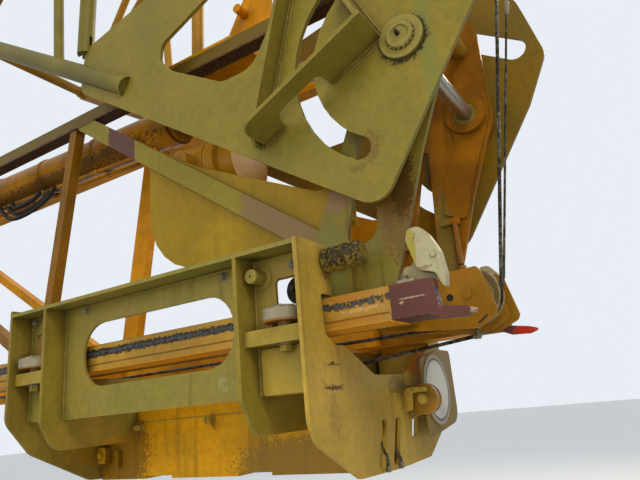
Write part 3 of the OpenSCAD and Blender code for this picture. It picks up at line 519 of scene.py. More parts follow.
# ---------------------------------------------------------------- sheave box and ropes
# Two burnt plates carry the rope sheave on its axle. The hoist ropes are six-strand steel
# wire rope, greased dark, which run along the mast, round the sheave and up to the trolley.
box_enamel = crane_enamel("sheave_box_enamel", "#b17c14", "#946914", edge="#d2a449", corner_shade=0.7)
dress(box_enamel, "sheave_box")
sheave_enamel = crane_enamel(
    "rope_sheave_enamel", "#b9ab8c", "#9c8c68", streaks=0.1, specks=0.5, edge="#d9cda9",
    marks=[((3790, 0, 38), (70, 900, 70), "#9a7a3a", 0.2, 0.5)])
dress(sheave_enamel, "rope_sheave", round_mm=0.8)

BOX_OUT, AXLE = 66, Vector((3790, 0, 38))
parts = bmesh.new()
for side in (-1, 1):
    for x in (3520, 3545, 3645):
        hex_bolt(parts, (x, side * BOX_OUT, 18), (0, side, 0), 17)
piece("sheave_box_bolts", parts, box_enamel, "mast")
# A dark disc set in the near cheek paints the shade inside a hole.
hole = bmesh.new()
turned(hole, [(0, 0), (10.8, 0), (10.8, 5), (0, 5)], (3736, -BOX_OUT + 1.5, 36), (0, 1, 0), 32)
piece("sheave_box_hole_shade", hole, rubber_and_hole_shade, "mast")
# A second, outer cheek stands off the far side on the beam and the long axle.
cheek = bmesh.new()
burnt(cheek, [(3500, -35), (3500, 45, 10), (3650, 45, 30), (3740, 112, 12), (3842, 115, 10),
              (3862, 92, 12), (3890, -22, 12), (3882, -38, 8), (3812, -68, 6)], 104, 112)
turned(cheek, [(0, 66), (20, 66), (20, 116), (0, 116)], AXLE, (0, 1, 0), 28)
turned(cheek, [(0, 64), (9, 64), (9, 105), (0, 105)], (3838, 0, 44), (0, 1, 0), 20)
piece("sheave_box_outer_cheek", cheek, box_enamel, "mast", 1.5)
# A thin dark plate on the near cheek paints the shade inside a drain slot.
drain = bmesh.new()
burnt(drain, [(3810, -52, 2), (3807, -48, 2), (3836, -28, 2), (3839, -32, 2)],
      -BOX_OUT - 1, -BOX_OUT + 2)
piece("box_drain_slot_shade", drain, rubber_and_hole_shade, "mast")

wire, tree, shader = shaded("greased_wire_rope")
place = add(tree, "TexCoord").outputs["Object"]
grease = add(tree, "TexNoise", {"Vector": place, "Scale": 1 / (14 * MM), "Detail": 3}).outputs["Fac"]
shine = add(tree, "MapRange", {0: grease, 1: 0.4, 2: 0.66}).outputs[0]
tone = add(tree, "Mix", {0: shine, 6: linear("#2a2723"), 7: linear("#6d6454")},
           data_type="RGBA").outputs[2]
rough = add(tree, "MapRange", {0: grease, 3: 0.62, 4: 0.38}).outputs[0]
shader.inputs["Metallic"].default_value = 0.6
tree.links.new(tone, shader.inputs["Base Color"])
tree.links.new(rough, shader.inputs["Roughness"])


def wire_rope(mesh, path, diameter, lay_length=78.0, strands=6):
    """Strands laid round a core, each swept along the rope's path."""
    points = [Vector(p) for p in path]
    fine, run = [], [0.0]
    step = lay_length / 9
    for a, b in zip(points, points[1:]):
        count = max(1, round((b - a).length / step))
        fine += [a.lerp(b, k / count) for k in range(count)]
    fine.append(points[-1])
    side, up, ahead = frame_along(fine[1] - fine[0])
    frames = []
    for i, point in enumerate(fine):
        way = (fine[min(i + 1, len(fine) - 1)] - fine[max(i - 1, 0)]).normalized()
        bend = ahead.rotation_difference(way)
        side, up, ahead = bend @ side, bend @ up, way
        frames.append((side.copy(), up.copy()))
        if i:
            run.append(run[-1] + (point - fine[i - 1]).length)
    strand_r = diameter / 6
    orbit = diameter / 2 - strand_r
    for k in range(strands):
        turn = math.tau * k / strands
        swept(mesh, [p + (s * math.cos(turn + math.tau * d / lay_length)
                          + u * math.sin(turn + math.tau * d / lay_length)) * orbit
                     for p, (s, u), d in zip(fine, frames, run)], strand_r * 1.04, 5)


ROPE_D, GROOVE_R, LEAN_DEG, ROPE_UP = 12, 74, 9.3, 990
LEAN = math.radians(LEAN_DEG)
bend_r = GROOVE_R + ROPE_D / 2 + 0.4
up_way = Vector((math.sin(LEAN), 0, math.cos(LEAN)))
leave = AXLE + Vector((math.cos(LEAN), 0, -math.sin(LEAN))) * bend_r
ropes = bmesh.new()
round_sheave = [AXLE + Vector((math.cos(a), 0, math.sin(a))) * bend_r
                for a in (math.radians(-90 + k * (90 - LEAN_DEG) / 14) for k in range(15))]
wire_rope(ropes, [(22, 0, AXLE.z - bend_r)] + round_sheave + [leave + up_way * ROPE_UP], ROPE_D)
ANCHOR = Vector((3841, 95, 52.4))
tail_way = Vector((0.188, 0, 0.982))
kink = ANCHOR + Vector((24, 0, 44))
wire_rope(ropes, [ANCHOR, kink, kink + tail_way * 946], ROPE_D * 0.7, lay_length=56)
hoist = piece("hoist_ropes_laid", ropes, wire, "mast")
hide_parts("hoist_ropes")
sockets = bmesh.new()
turned(sockets, [(6, 0), (9, 4), (12, 14), (12, 60), (9, 66), (0, 66)],
       leave + up_way * (ROPE_UP - 6), up_way, 20)
turned(sockets, [(4.2, 0), (7, 4), (8.4, 12), (8.4, 48), (6, 54), (0, 54)],
       kink + tail_way * 900, tail_way, 20)
piece("rope_sockets", sockets, bolt_steel, "mast")


# ---------------------------------------------------------------- latches
# A thick cream lever over each claw, ground to shape and turning on a pin in one welded
# ear. It hooks down over the bevel and keeps the guide frame from running off the rails.
LATCH, LEVER_HALF, BRACKET_T = Vector((3768, 325, 120)), 15, 8
latch_cream = crane_enamel(
    "latch_cream_enamel", "#bcb794", "#a89f77", streaks=0.15, specks=0.6, edges=0.8, edge="#5d4a2a",
    corner_shade=0.5, marks=[((3742, 0, 138), (15, 900, 58), "#a39a3c", 0.15, 0.9),
                      ((3772, 0, 78), (26, 900, 6), "#6b5430", 0.6, 0.6)])
for word, side in SIDES.items():
    lever = bmesh.new()
    burnt(lever, [(3729, 158, 14), (3737, 188, 16), (3770, 190, 26), (3793, 162, 30),
                  (3816, 114, 30), (3824, 52, 8), (3818, 17, 6), (3807, 33, 6), (3798, 60, 14),
                  (3762, 72, 8), (3750, 80, 10), (3737, 128, 30)],
          side * LATCH.y - LEVER_HALF, side * LATCH.y + LEVER_HALF)
    turned(lever, [(0, 0), (8, 0), (9, 2), (8, 4), (4, 4.5), (0, 3)],
           (3799, side * LATCH.y - 14.5, 107), (0, -1, 0), 24)
    weld(lever, [(3748, side * LATCH.y - 15, 150), (3757, side * LATCH.y - 15.5, 172)], 4)
    made = piece(f"latch_{word}_lever", lever, latch_cream, f"latch_{word}", 3)
    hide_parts(f"latch_{word}")
    bracket = bmesh.new()
    inner = side * LATCH.y - side * 17
    burnt(bracket, [(3690, RAIL_HALF), (3690, 70, 10), (3704, 98, 12), (3722, 96, 12),
                    (3742, 118, 20), (3756, 138, 16), (3784, 136, 16), (3790, RAIL_HALF)],
          inner, inner - side * BRACKET_T)
    burnt(bracket, [(3690, RAIL_HALF), (3690, 57, 4), (3740, 57, 4), (3740, RAIL_HALF)],
          side * LATCH.y - 17, side * LATCH.y + 17)
    turned(bracket, [(0, -24), (8.6, -24), (8.6, 14), (0, 14)],
           (LATCH.x, side * LATCH.y, LATCH.z), (0, side, 0), 24)
    made = piece(f"latch_{word}_bracket", bracket, latch_cream, "mast", 1.5)
    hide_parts(f"latch_bracket_{word}")
pins = bmesh.new()
for side in (-1, 1):
    turned(pins, [(0, 0), (16, 0), (16, 2.5), (11, 3), (10, 8), (0, 9)],
           (LATCH.x, side * (LATCH.y - 17 - BRACKET_T), LATCH.z), (0, -side, 0), 24)
    hex_bolt(pins, (3706, side * LATCH.y, 57), (0, 0, 1), 19)
piece("latch_pin_heads", pins, bolt_steel, "mast")


# ---------------------------------------------------------------- guide frame
# Ribs, side plates and a centre box burnt from 8 to 12 mm plate and seam welded. The outer
# faces are painted dull olive as shade; the insides are painted orange as light coming up.
shaded_frame_olive = crane_enamel(
    "guide_frame_enamel_painted_shade", "#988940", "#8e873c", streaks=0.3, specks=0.35, edge="#c2ad62", corner_shade=0.7,
    marks=[((3140, -385, -150), (22, 30, 26), "#a8a375", 0.9, 0.5),
           ((2300, -390, 0), (90, 60, 160), "#7f6a2a", 0.3, 0.6),
           ((3400, -380, 60), (90, 60, 150), "#957b35", 0.3, 0.6)])
dress(shaded_frame_olive, "side_plate_near")
dress(painted_sunlit_enamel, "side_plate_far")
rib_enamel = crane_enamel(
    "rib_enamel", "#978634", "#8e7a30", streaks=0.3, specks=0.4, edge="#c9b264", corner_shade=0.8,
    # The ribs' orange lower part is painted light coming up from below.
    marks=[((2800, 0, -330), (900, 330, 90), "#a67a1c", 0.3, 0.8)])
dress(rib_enamel, "rear_rib", "rear_inner_rib", "front_inner_rib")
# The centre box's bright orange is painted light coming up from below.
lit_box_orange = crane_enamel(
    "centre_box_enamel_painted_light", "#e9aa0f", "#be9318", streaks=0.45, specks=0.9, edge="#c9a04a", corner_shade=0.8,
    marks=[((3200, -80, -400), (320, 30, 90), "#8c6f33", 0.4, 0.8),
           ((2300, -80, -330), (190, 30, 160), "#6c4d14", 0.4, 0.7)])
dress(lit_box_orange, "centre_box")
bar_enamel = crane_enamel("roller_bracket_enamel", "#b59e42", "#9d8a36", specks=0.4, edge="#c9b264")
dress(bar_enamel, "roller_bracket_near", "roller_bracket_far")

REAR_X, REAR_IN, FRONT_IN, NOSE_X, RIB_T = 2200, 2404, 3275, 3482, 12
PLATE_OUT, PLATE_IN, FRAME_TOP, CENTRE_HALF = 400, 389, 197, 74
seam = bmesh.new()
bays = ((REAR_X, REAR_IN - RIB_T, -196), (REAR_IN, FRONT_IN - RIB_T, -200),
        (FRONT_IN, NOSE_X - RIB_T, -196))
for side in (-1, 1):
    out = side * PLATE_OUT
    for x0, x1, low in bays:
        weld(seam, [(x0, out, low), (x0, out, FRAME_TOP - 14), (x1, out, FRAME_TOP - 14),
                    (x1, out, low)], 6)
        weld(seam, [(x0 + 2, side * PLATE_IN, low + 4), (x1 - 2, side * PLATE_IN, low + 4)], 4)
    for x in (REAR_X, REAR_IN - RIB_T, REAR_IN, FRONT_IN - RIB_T, FRONT_IN, NOSE_X - RIB_T):
        weld(seam, [(x, side * CENTRE_HALF, -232), (x, side * (CENTRE_HALF + 1), -296)], 6)
for x0, x1, low in bays:
    weld(seam, [(x0, -CENTRE_HALF, -231), (x1, -CENTRE_HALF, -231)], 4)
piece("guide_frame_seams", seam, shaded_frame_olive, "guide_frame")
trough = bmesh.new()
for x0, x1, _ in bays:
    for side in (-1, 1):
        burnt(trough, [(x0, -232), (x0, -189), (x1, -189), (x1, -232)],
              side * CENTRE_HALF, side * (CENTRE_HALF - 6))
piece("centre_box_trough", trough, lit_box_orange, "guide_frame", 1)

# Bolts and a blanked axle boss on the side plates, and a guard box under the front roller.
SIDE_BOLTS = ((2384, 166), (2517, 167), (3160, 165), (3410, 150), (2226, 165))
bolts = bmesh.new()
for side in (-1, 1):
    for x, z in SIDE_BOLTS:
        hex_bolt(bolts, (x, side * PLATE_OUT, z), (0, side, 0), 17, tail=6)
piece("side_plate_bolts", bolts, bolt_steel, "guide_frame")
boss = bmesh.new()
for side in (-1, 1):
    turned(boss, [(0, 0), (33, 0), (33, 3), (25, 4), (21, 8), (21, 56), (19, 58), (4, 58), (4, 54),
                  (0, 54)], (3304, side * PLATE_OUT, 129), (0, side, 0), 40)
piece("side_plate_bosses", boss, shaded_frame_olive, "guide_frame")
guard = bmesh.new()
for side in (-1, 1):
    burnt(guard, [(3286, -198, 14), (3286, -70, 10), (3462, -70, 6), (3462, -198, 6)],
          side * (PLATE_OUT + 8), side * 330)
piece("front_guard_boxes", guard, bar_enamel, "guide_frame", 3)
# Behind the front windows a rubber-tyred wheel holds the frame down on each rail's top.
WHEEL_X, WHEEL_Y, WHEEL_Z = 3392, 330, 88
tyre = bmesh.new()
for side in (-1, 1):
    turned(tyre, [(0, -24), (12, -24), (12, -20), (26, -20), (30, -24), (38, -24), (41, -21),
                  (41, 21), (38, 24), (30, 24), (26, 20), (12, 20), (12, 24), (0, 24)],
           (WHEEL_X, side * WHEEL_Y, WHEEL_Z), (0, side, 0), 40)
    turned(tyre, [(0, 0), (9, 0), (9, 40), (0, 40)],
           (WHEEL_X, side * (WHEEL_Y + 20), WHEEL_Z), (0, side, 0), 20)
piece("top_wheels", tyre, rubber_and_hole_shade, "guide_frame", 1)

# Two eye studs with split pins stick out of the centre box; they hold its inner liner.
studs, split_pins = bmesh.new(), bmesh.new()
for x, z in ((2434, -251), (2798, -247)):
    turned(studs, [(0, 0), (15, 0), (15, 3), (10, 4), (10, 26), (9, 28), (0, 28)],
           (x, -CENTRE_HALF, z), (0, -1, 0), 24)
    turned(studs, [(0, -5), (11, -4), (12, 0), (11, 4), (0, 5)],
           (x - 9, -CENTRE_HALF - 24, z), (1, 0, 0), 20)
    y = -CENTRE_HALF - 18
    swept(split_pins, [(x + 14, y, z + 24), (x + 8, y, z + 8), (x, y, z), (x + 4, y, z - 6),
                       (x + 22, y, z - 26), (x + 30, y, z - 32)], 2.4, 8)
    swept(split_pins, [(x, y, z), (x + 10, y - 2, z - 4), (x + 24, y - 3, z - 16)], 2.4, 8)
piece("box_eye_studs", studs, bar_enamel, "guide_frame")
piece("box_split_pins", split_pins, rod_rust, "guide_frame")
lugs = bmesh.new()
burnt(lugs, [(2216, -374, 4), (2216, -314, 8), (2256, -314, 8), (2256, -374, 4)],
      -CENTRE_HALF, -110)
burnt(lugs, [(2300, -392, 3), (2300, -330, 3), (2316, -330, 3), (2316, -392, 3)],
      -CENTRE_HALF, -96)
hex_bolt(lugs, (2236, -110, -344), (0, -1, 0), 22, washer=False)
piece("box_lugs", lugs, lit_box_orange, "guide_frame", 1.5)


# ---------------------------------------------------------------- rollers
# Cast iron guide rollers run along the rails' outer faces. Their rims are rubbed pale, with
# a lip of old orange paint below, and black grease where they meet the rail.
roller_iron = crane_enamel(
    "worn_roller_iron", "#aea890", "#928d75", streaks=0.1, specks=0.9, edges=0.9, edge="#d7d3c4",
    corner_shade=0.5, gloss=0.4,
    marks=[((2800, 0, -11), (2000, 900, 7), "#b8742a", 0.25, 0.95),
           ((2800, 0, 27), (2000, 900, 4), "#6b6656", 0.6, 0.7)])
rollers = ("roller_rear_near", "roller_front_near", "roller_rear_far", "roller_front_far")
dress(roller_iron, *rollers, round_mm=1)
ROLLER_TOP = 31
nuts = bmesh.new()
for name in rollers:
    low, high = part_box(name)
    centre = (low + high) / 2 / MM
    cap = bmesh.new()
    turned(cap, [(14, 0), (38, 0), (38, 2), (34, 4), (16, 4), (14, 3)],
           (centre.x, centre.y, ROLLER_TOP - 0.5), (0, 0, 1), 40)
    for k in range(4):
        turn = math.tau * k / 4 + 0.3
        turned(cap, [(0, 0), (4, 0), (4, 3), (3, 4), (0, 4)],
               (centre.x + 27 * math.cos(turn), centre.y + 27 * math.sin(turn), ROLLER_TOP + 3),
               (0, 0, 1), 6)
    piece(name + "_seal", cap, roller_iron, name)
    turned(nuts, [(0, 0), (9, 0), (9, 3), (7, 5), (0, 5)],
           (centre.x, centre.y, ROLLER_TOP + 1), (0, 0, 1), 20)
    turned(nuts, [(17, 0), (26, 0), (26, 4), (17, 4)], (centre.x, centre.y, -70), (0, 0, 1), 28)
piece("roller_pin_nuts", nuts, bolt_steel, "guide_frame")


# ---------------------------------------------------------------- nose plate and its fittings
# The nose closes the guide frame and carries a blank round sign on stand-offs, the rope
# roller between its cheeks, a blanked boss and a grooved end buffer caked with dirt.
nose_enamel = crane_enamel(
    "nose_plate_enamel", "#ccaa49", "#b79a3f", streaks=0.35, specks=0.5, edge="#cfb469", corner_shade=0.7,
    marks=[((3482, -352, -193), (30, 52, 7), "#55302a", 0.8, 0.85),
           ((3482, -352, -132), (30, 44, 3.5), "#3f2f18", 0.9, 0.7),
           ((3482, -366, -258), (30, 32, 62), "#86653a", 0.9, 0.4),
           ((3482, -300, 120), (30, 60, 90), "#8a7a3c", 0.3, 0.5),
           ((3482, 55, -196), (30, 72, 34), "#4b3c1f", 1.0, 0.6),
           ((3482, -345, 112), (30, 26, 12), "#7d5226", 0.7, 0.6),
           ((3482, 230, -105), (30, 140, 62), "#c67d0c", 0.15, 0.9)])
dress(nose_enamel, "nose_plate")
COVER_Y, COVER_Z = 350, -162
boss, ring = bmesh.new(), bmesh.new()
for side in (-1, 1):
    rim = [boss.verts.new((NOSE_X + 1.6, side * COVER_Y + 60 * math.cos(math.tau * k / 40),
                           COVER_Z + 29 * math.sin(math.tau * k / 40))) for k in range(40)]
    root = [boss.verts.new((NOSE_X - 1, v.co.y, v.co.z)) for v in rim]
    boss.faces.new(rim)
    boss.faces.new(root)
    skin(boss, rim, root)
    weld(ring, [(NOSE_X + 0.5, side * COVER_Y + 62 * math.cos(math.tau * k / 40),
                 COVER_Z + 31 * math.sin(math.tau * k / 40)) for k in range(41)], 4.5)
piece("nose_cover_plates", boss, nose_enamel, "guide_frame")
piece("nose_boss_seam", ring, nose_enamel, "guide_frame")

SIGN = (3534, 282, -214)
sign_white = crane_enamel(
    "sign_disc_enamel", "#9c8442", "#8b753a", streaks=0.15, edge="#cfb469",
    marks=[(SIGN, (13, 126, 126), "#e4e6e2", 0.01, 1.0),
           (SIGN, (13, 121, 121), "#191a17", 0.01, 1.0),
           (SIGN, (13, 110, 110), "#dfe1dd", 0.01, 1.0),
           ((3534, 300, -290), (13, 60, 30), "#8f8f83", 0.9, 0.35)])
dress(sign_white, "sign_plate", round_mm=0.8)
dress(nose_enamel, "rope_roller_bracket", round_mm=1.2)
bright_roller = crane_enamel(
    "rope_polished_roller", "#b4862c", "#8d6a28", streaks=0.1, specks=0.5, edge="#d7b76a", gloss=0.36)
dress(bright_roller, "rope_roller", round_mm=1)
ROLL = Vector((3548, 110, -243))
track = bmesh.new()
turned(track, [(38.3, -5.5), (38.8, -5), (38.8, 5), (38.3, 5.5)], ROLL, (0, 1, 0), 40)
turned(track, [(47.9, -15), (48.3, -14), (48.3, -9), (47.9, -8)], ROLL, (0, 1, 0), 40)
polished, tree, shader = shaded("rope_polished_steel")
shader.inputs["Metallic"].default_value = 1.0
place = add(tree, "TexCoord").outputs["Object"]
scuff = add(tree, "TexNoise", {"Vector": place, "Scale": 1 / (6 * MM), "Detail": 4}).outputs["Fac"]
tone = add(tree, "Mix", {0: scuff, 6: linear("#8e8b84"), 7: linear("#d8d5cc")},
           data_type="RGBA").outputs[2]
rough = add(tree, "MapRange", {0: scuff, 3: 0.2, 4: 0.45}).outputs[0]
tree.links.new(tone, shader.inputs["Base Color"])
tree.links.new(rough, shader.inputs["Roughness"])
piece("rope_roller_track", track, polished, "rope_roller")
cheek = bmesh.new()
burnt(cheek, [(NOSE_X, ROLL.z - 36), (NOSE_X, ROLL.z + 40, 4), (ROLL.x + 20, ROLL.z + 37, 8),
              (ROLL.x + 20, ROLL.z + 23, 4), (NOSE_X + 36, ROLL.z + 22, 6),
              (NOSE_X + 30, ROLL.z - 30, 8)], ROLL.y - 34, ROLL.y - 26)
hex_bolt(cheek, (ROLL.x - 2, ROLL.y - 34, ROLL.z + 30), (0, -1, 0), 10, washer=False)
turned(cheek, [(0, 0), (13, 0), (13, 6), (11, 7), (0, 7)],
       (ROLL.x, ROLL.y - 33, ROLL.z), (0, -1, 0), 28)
piece("rope_roller_keeper", cheek, nose_enamel, "guide_frame", 1)

# Two rope tails hang out of the long slots and end in ferrules, and a haul rope leads from
# its clamp on the front inner rib, through the throat, to a shackle under the sheave box.
tails = bmesh.new()
wire_rope(tails, [(3450, -70, -345), (3470, -82, -372), (3484, -92, -396), (3488, -99, -421)], 10, 60)
wire_rope(tails, [(3450, -2, -350), (3472, -4, -384), (3486, -6, -408), (3489, -8, -422)], 10, 60)
wire_rope(tails, [(3276, 0, -124), (3417, 0, -112), (3661, 0, -90), (3786, 0, -78)], ROPE_D)
piece("haul_rope_and_tails", tails, wire, "guide_frame")
shackle = bmesh.new()
for y, z in ((-98, -419), (-8, -420)):
    turned(shackle, [(4, 0), (6.4, 1), (6.4, 14), (5, 17), (0, 17)], (3488, y, z), (0.1, -0.1, -1), 16)
turned(shackle, [(0, -2), (12, -2), (14, 6), (11, 26), (0, 28)], (3278, 0, -124), (1, 0, 0.09), 20)
swept(shackle, [(3786, 14 * math.cos(math.tau * k / 16), -71 + 14 * math.sin(math.tau * k / 16))
                for k in range(17)], 4, 10)
turned(shackle, [(0, -16), (8, -16), (10, -4), (8, 4), (0, 6)], (3784, 0, -78), (1, 0, 0.09), 18)
piece("haul_rope_ends", shackle, bolt_steel, "guide_frame")

# The end buffer's spiral groove is filled up with black dirt.
buffer_iron = crane_enamel(
    "dirt_caked_buffer", "#8c762b", "#70642c", streaks=0.1, specks=1, edges=0.4, corner_shade=0.3, gloss=0.6,
    marks=[((3545, -342, 190), (90, 50, 27), "#1d1b16", 0.8, 0.95),
           ((3545, -374, 160), (90, 14, 34), "#26231b", 1.1, 0.85),
           ((3545, -352, 134), (90, 34, 10), "#2f2b20", 1.2, 0.6)])
BUFFER, BUFFER_LONG = Vector((NOSE_X, -342, 155)), 126
caked = bmesh.new()
rings, around = 78, 56
last = None
for i in range(rings + 1):
    x = i * BUFFER_LONG / rings
    loop = []
    for k in range(around):
        turn = math.tau * k / around
        wind = (x - 5 - 30 * turn / math.tau) / 38
        groove = abs(math.sin(math.pi * wind)) ** 0.5
        ends = min(1, (x / 7) ** 0.5, (max(0, BUFFER_LONG - x) / 10) ** 0.5)
        crust = noise.noise(Vector((x, 27 * math.cos(turn), 27 * math.sin(turn))) * 0.14)
        radius = (29.5 + 7 * groove + 1.6 * crust) * (0.6 + 0.4 * ends) - (0 if ends == 1 else 1)
        radius = max(3, radius)
        spot = Vector((x, radius * math.cos(turn), radius * math.sin(turn)))
        loop.append(caked.verts.new(BUFFER + spot))
    if last:
        skin(caked, last, loop)
    else:
        caked.faces.new(loop)
    last = loop
caked.faces.new(last)
lump = piece("end_buffer_caked", caked, buffer_iron, "guide_frame")
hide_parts("end_buffer")


# ---------------------------------------------------------------- jib foot
# Two thick plates burnt out with a window, an arc slot round the pin and a long slot, with
# a long rib and a bridged shelf welded on edge. The jib's tubes are slotted over the plates.
RAKE = math.radians(33.8)
JIB_Y, JIB_T = 340, 15
BACK = Vector((-math.cos(RAKE), 0, math.sin(RAKE)))
UP = Vector((math.sin(RAKE), 0, math.cos(RAKE)))


def on_jib(back, up, y):
    """A point from its distance back along the jib and up from the pin."""
    return PIN + BACK * back + UP * up + Vector((0, y, 0))


# The near jib plate's olive is the yellow enamel painted as it looks in shade.
shaded_jib_olive = crane_enamel(
    "near_jib_enamel_painted_shade", "#8d7e31", "#83792f", streaks=0.12, specks=0.15, edges=0.6, edge="#c9b26a",
    corner_shade=0.85,
    marks=[(tuple(on_jib(-142, -90, -355)), (26, 30, 330), "#75803f", 0.15, 0.5),
           # A dark ring round the pin cover, set a little low: grease, and in part a painted shadow of
           # the cover.
           (tuple(PIN + Vector((3, -352, -4))), (76, 30, 76), "#241d10", 0.2, 0.9),
           (tuple(on_jib(-44, -318, -352)), (34, 30, 46), "#6f5226", 0.9, 0.6),
           (tuple(on_jib(20, -304, -352)), (15, 30, 12), "#33240f", 1.2, 0.7),
           (tuple(on_jib(-38, -388, -352)), (32, 30, 13), "#6b5426", 0.9, 0.5)])
dress(shaded_jib_olive, "jib_plate_near")
# The far jib plate's orange is the same enamel painted as lit by light from behind.
lit_jib_orange = crane_enamel("far_jib_enamel_painted_light", "#876a14", "#77621e", specks=0.25,
                          edge="#d0a24a", corner_shade=0.7)
dress(lit_jib_orange, "jib_plate_far")
# The near jib tube is painted darker as shade; the cross and far tubes are painted orange as lit.
tube_enamel = crane_enamel("jib_tube_enamel_painted_shade", "#81772c", "#70682c", edge="#cdb35c")
dress(tube_enamel, "jib_lattice_near", round_mm=1)
lit_cross_enamel = crane_enamel("jib_cross_tube_enamel_painted_light", "#b5841e", "#8f6c1e", edge="#d6ad4c")
dress(lit_cross_enamel, "jib_cross_tubes", "jib_lattice_far", round_mm=1)

# The rib's and the shelf's roots, from (back, up) to (back, up); each has two weld lines.
ROOT_T = 12
roots = (((320, -429), (521, 240)), ((312, -416), (268, -343)), ((167, -173), (70, -12)),
         ((70, -12), (262, 103)))
for word, side in SIDES.items():
    seam = bmesh.new()
    out = side * (JIB_Y + JIB_T + 0.5)
    for (b0, u0), (b1, u1) in roots:
        way = Vector((b1 - b0, u1 - u0)).normalized()
        square = Vector((-way.y, way.x)) * ROOT_T
        for shift in (Vector((0, 0)), square):
            weld(seam, [on_jib(b0 + shift.x, u0 + shift.y, out),
                        on_jib(b1 + shift.x, u1 + shift.y, out)], 4.5)
    for back, up, radius in ((1131, -382, 40), (641, 478, 40)):
        turned(seam, [(radius, -6), (radius + 4, -3), (radius + 4, 3), (radius, 6)],
               on_jib(back, up, side * (JIB_Y + JIB_T / 2)), BACK, 36)
    for b0, b1, up in ((1140, 1430, -344), (650, 735, 440)):
        for face in (JIB_Y - 0.5, JIB_Y + JIB_T + 0.5):
            weld(seam, [on_jib(b0, up, side * face),
                        on_jib(b1, up - (b1 - b0) * 0.027, side * face)], 5)
    piece(f"jib_{word}_seams", seam, shaded_jib_olive if side < 0 else lit_jib_orange, "jib_foot")

# The hinge pin's end: a cover disc, a castellated lock ring inside it and a grease screw.
pin_enamel = crane_enamel("pin_cover_enamel", "#948a45", "#8a7e3c", streaks=0.1, specks=0.6,
                          edges=0.8, edge="#c8b66e", corner_shade=1.0)
shaft = bmesh.new()
turned(shaft, [(0, -377), (26, -377), (26, -369), (64, -369), (66, -367), (66, -355), (42, -355),
               (42, -208), (40, -206), (26, -206), (26, 206), (40, 206), (42, 208), (42, 355),
               (66, 355), (66, 367), (64, 369), (26, 369), (26, 377), (0, 377)], PIN, (0, 1, 0), 56)
stepped = piece("jib_pin_turned", shaft, pin_enamel, "jib_foot")
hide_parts("jib_pin")
sleeve = bmesh.new()
turned(sleeve, [(25.8, -204), (26.4, -204), (26.4, 204), (25.8, 204)], PIN, (0, 1, 0), 56)
piece("jib_pin_ground_shank", sleeve, polished, "jib_foot")
lock, screws = bmesh.new(), bmesh.new()
FACE = JIB_Y + JIB_T + 14
for side in (-1, 1):
    at = PIN + Vector((0, side * FACE, 0))
    turned(lock, [(26, 0), (40, 0), (40, 9), (37, 12), (29, 12), (26, 9)], at, (0, side, 0), 48)
    for k in range(18):
        turn = math.tau * k / 18
        spot = at + Vector((40.5 * math.cos(turn), side * 2.5, 40.5 * math.sin(turn)))
        turned(lock, [(0, -1), (3.4, -1), (3.8, 2), (2.4, 4), (0, 4)], spot, (0, side, 0), 8)
    turned(screws, [(0, 7), (7, 7), (7, 9), (5, 10), (5, 17), (6.5, 18), (6.5, 22), (3, 24),
                    (0, 24)], at + Vector((-4, 0, 4)), (0, side, 0), 20)
piece("pin_lock_rings", lock, pin_enamel, "jib_foot")
piece("pin_grease_screws", screws, rubber_and_hole_shade, "jib_foot")


# ---------------------------------------------------------------- stage
# A plain pale floor and sky, soft light, and the camera where the photograph was taken:
# low and close, looking up past the nose of the guide frame.
FLOOR_Z = -1500
pale_floor, tree, shader = shaded("pale_floor")
shader.inputs["Base Color"].default_value = linear("#b9bcbd")
shader.inputs["Roughness"].default_value = 0.9
shader.inputs["Emission Color"].default_value = linear("#dfe3e6")
to_camera = add(tree, "Math", {0: add(tree, "LightPath").outputs["Is Camera Ray"], 1: 0.55},
                operation="MULTIPLY").outputs[0]
tree.links.new(to_camera, shader.inputs["Emission Strength"])
floor_mesh = bmesh.new()
bmesh.ops.create_grid(floor_mesh, x_segments=1, y_segments=1, size=40000)
floor_data = bpy.data.meshes.new("floor")
floor_mesh.to_mesh(floor_data)
floor_mesh.free()
floor_data.transform(Matrix.Translation((0, 0, FLOOR_Z * MM)) @ Matrix.Scale(MM, 4))
floor_data.materials.append(pale_floor)
floor = in_scene("floor", floor_data)

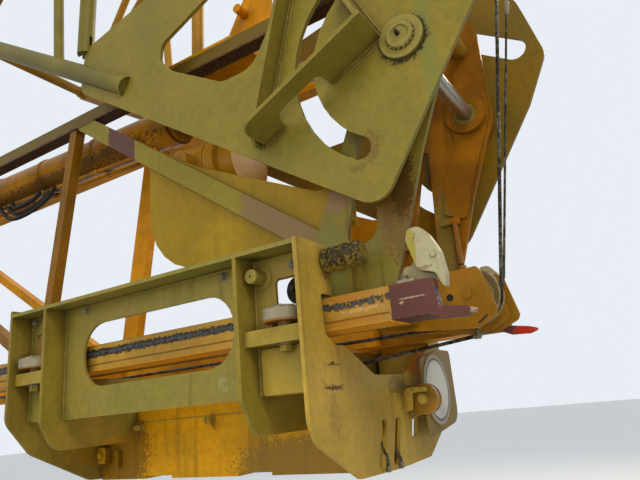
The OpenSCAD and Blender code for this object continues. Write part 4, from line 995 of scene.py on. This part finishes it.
world = bpy.data.worlds.new("pale_sky")
scene.world = world
world.use_nodes = True
tree = world.node_tree
seen = add(tree, "LightPath")
direct = add(tree, "Math", {0: seen.outputs["Is Camera Ray"], 1: seen.outputs["Is Glossy Ray"]},
             operation="MAXIMUM").outputs[0]
direct = add(tree, "Math", {0: direct, 1: seen.outputs["Is Transmission Ray"]},
             operation="MAXIMUM").outputs[0]
sky = tree.nodes["Background"]
sky.inputs["Color"].default_value = linear("#e8eef4")
power = add(tree, "MapRange", {0: direct, 3: 0.27, 4: 1.0}).outputs[0]
tree.links.new(power, sky.inputs["Strength"])


def lamp(name, at, aim, size, power, code, spread=180):
    """A round soft light, in metres and watts, aimed at a point."""
    light = bpy.data.lights.new(name, "AREA")
    light.shape = "DISK"
    light.size = size
    light.energy = power
    light.color = linear(code)[:3]
    light.spread = math.radians(spread)
    made = in_scene(name, light)
    made.location = at
    made.rotation_euler = (Vector(aim) - Vector(at)).to_track_quat("-Z", "Y").to_euler()


lamp("key", (7.5, -4.5, 6.5), (3.0, 0, 0.4), 4.0, 300, "#fff4e2")
lamp("fill", (1.0, -6.5, 2.0), (3.0, 0, 0.4), 5.0, 110, "#fbf6ec")
lamp("low", (5.6, -4.2, -0.4), (3.0, 0.3, 0.6), 1.9, 13, "#fff1da", spread=80)
lamp("back", (4.5, 6.0, 5.0), (3.0, 0, 0.4), 4.0, 420, "#fff0d6")

eye = Vector((4.260, -1.685, -0.240))
ahead = Vector((-0.4847, 0.8275, 0.2833)).normalized()
roll = math.radians(-5.42)
level = ahead.cross(Vector((0, 0, 1))).normalized()
top = level.cross(ahead)
right = level * math.cos(roll) + top * math.sin(roll)
above = right.cross(ahead)
lens = bpy.data.cameras.new("camera")
lens.lens = 31.81
lens.sensor_width = 36
lens.clip_start = 0.05
camera = in_scene("camera", lens)
camera.matrix_world = Matrix((
    (right.x, above.x, -ahead.x, eye.x), (right.y, above.y, -ahead.y, eye.y),
    (right.z, above.z, -ahead.z, eye.z), (0, 0, 0, 1)))
scene.camera = camera
scene.view_settings.view_transform = "Standard"
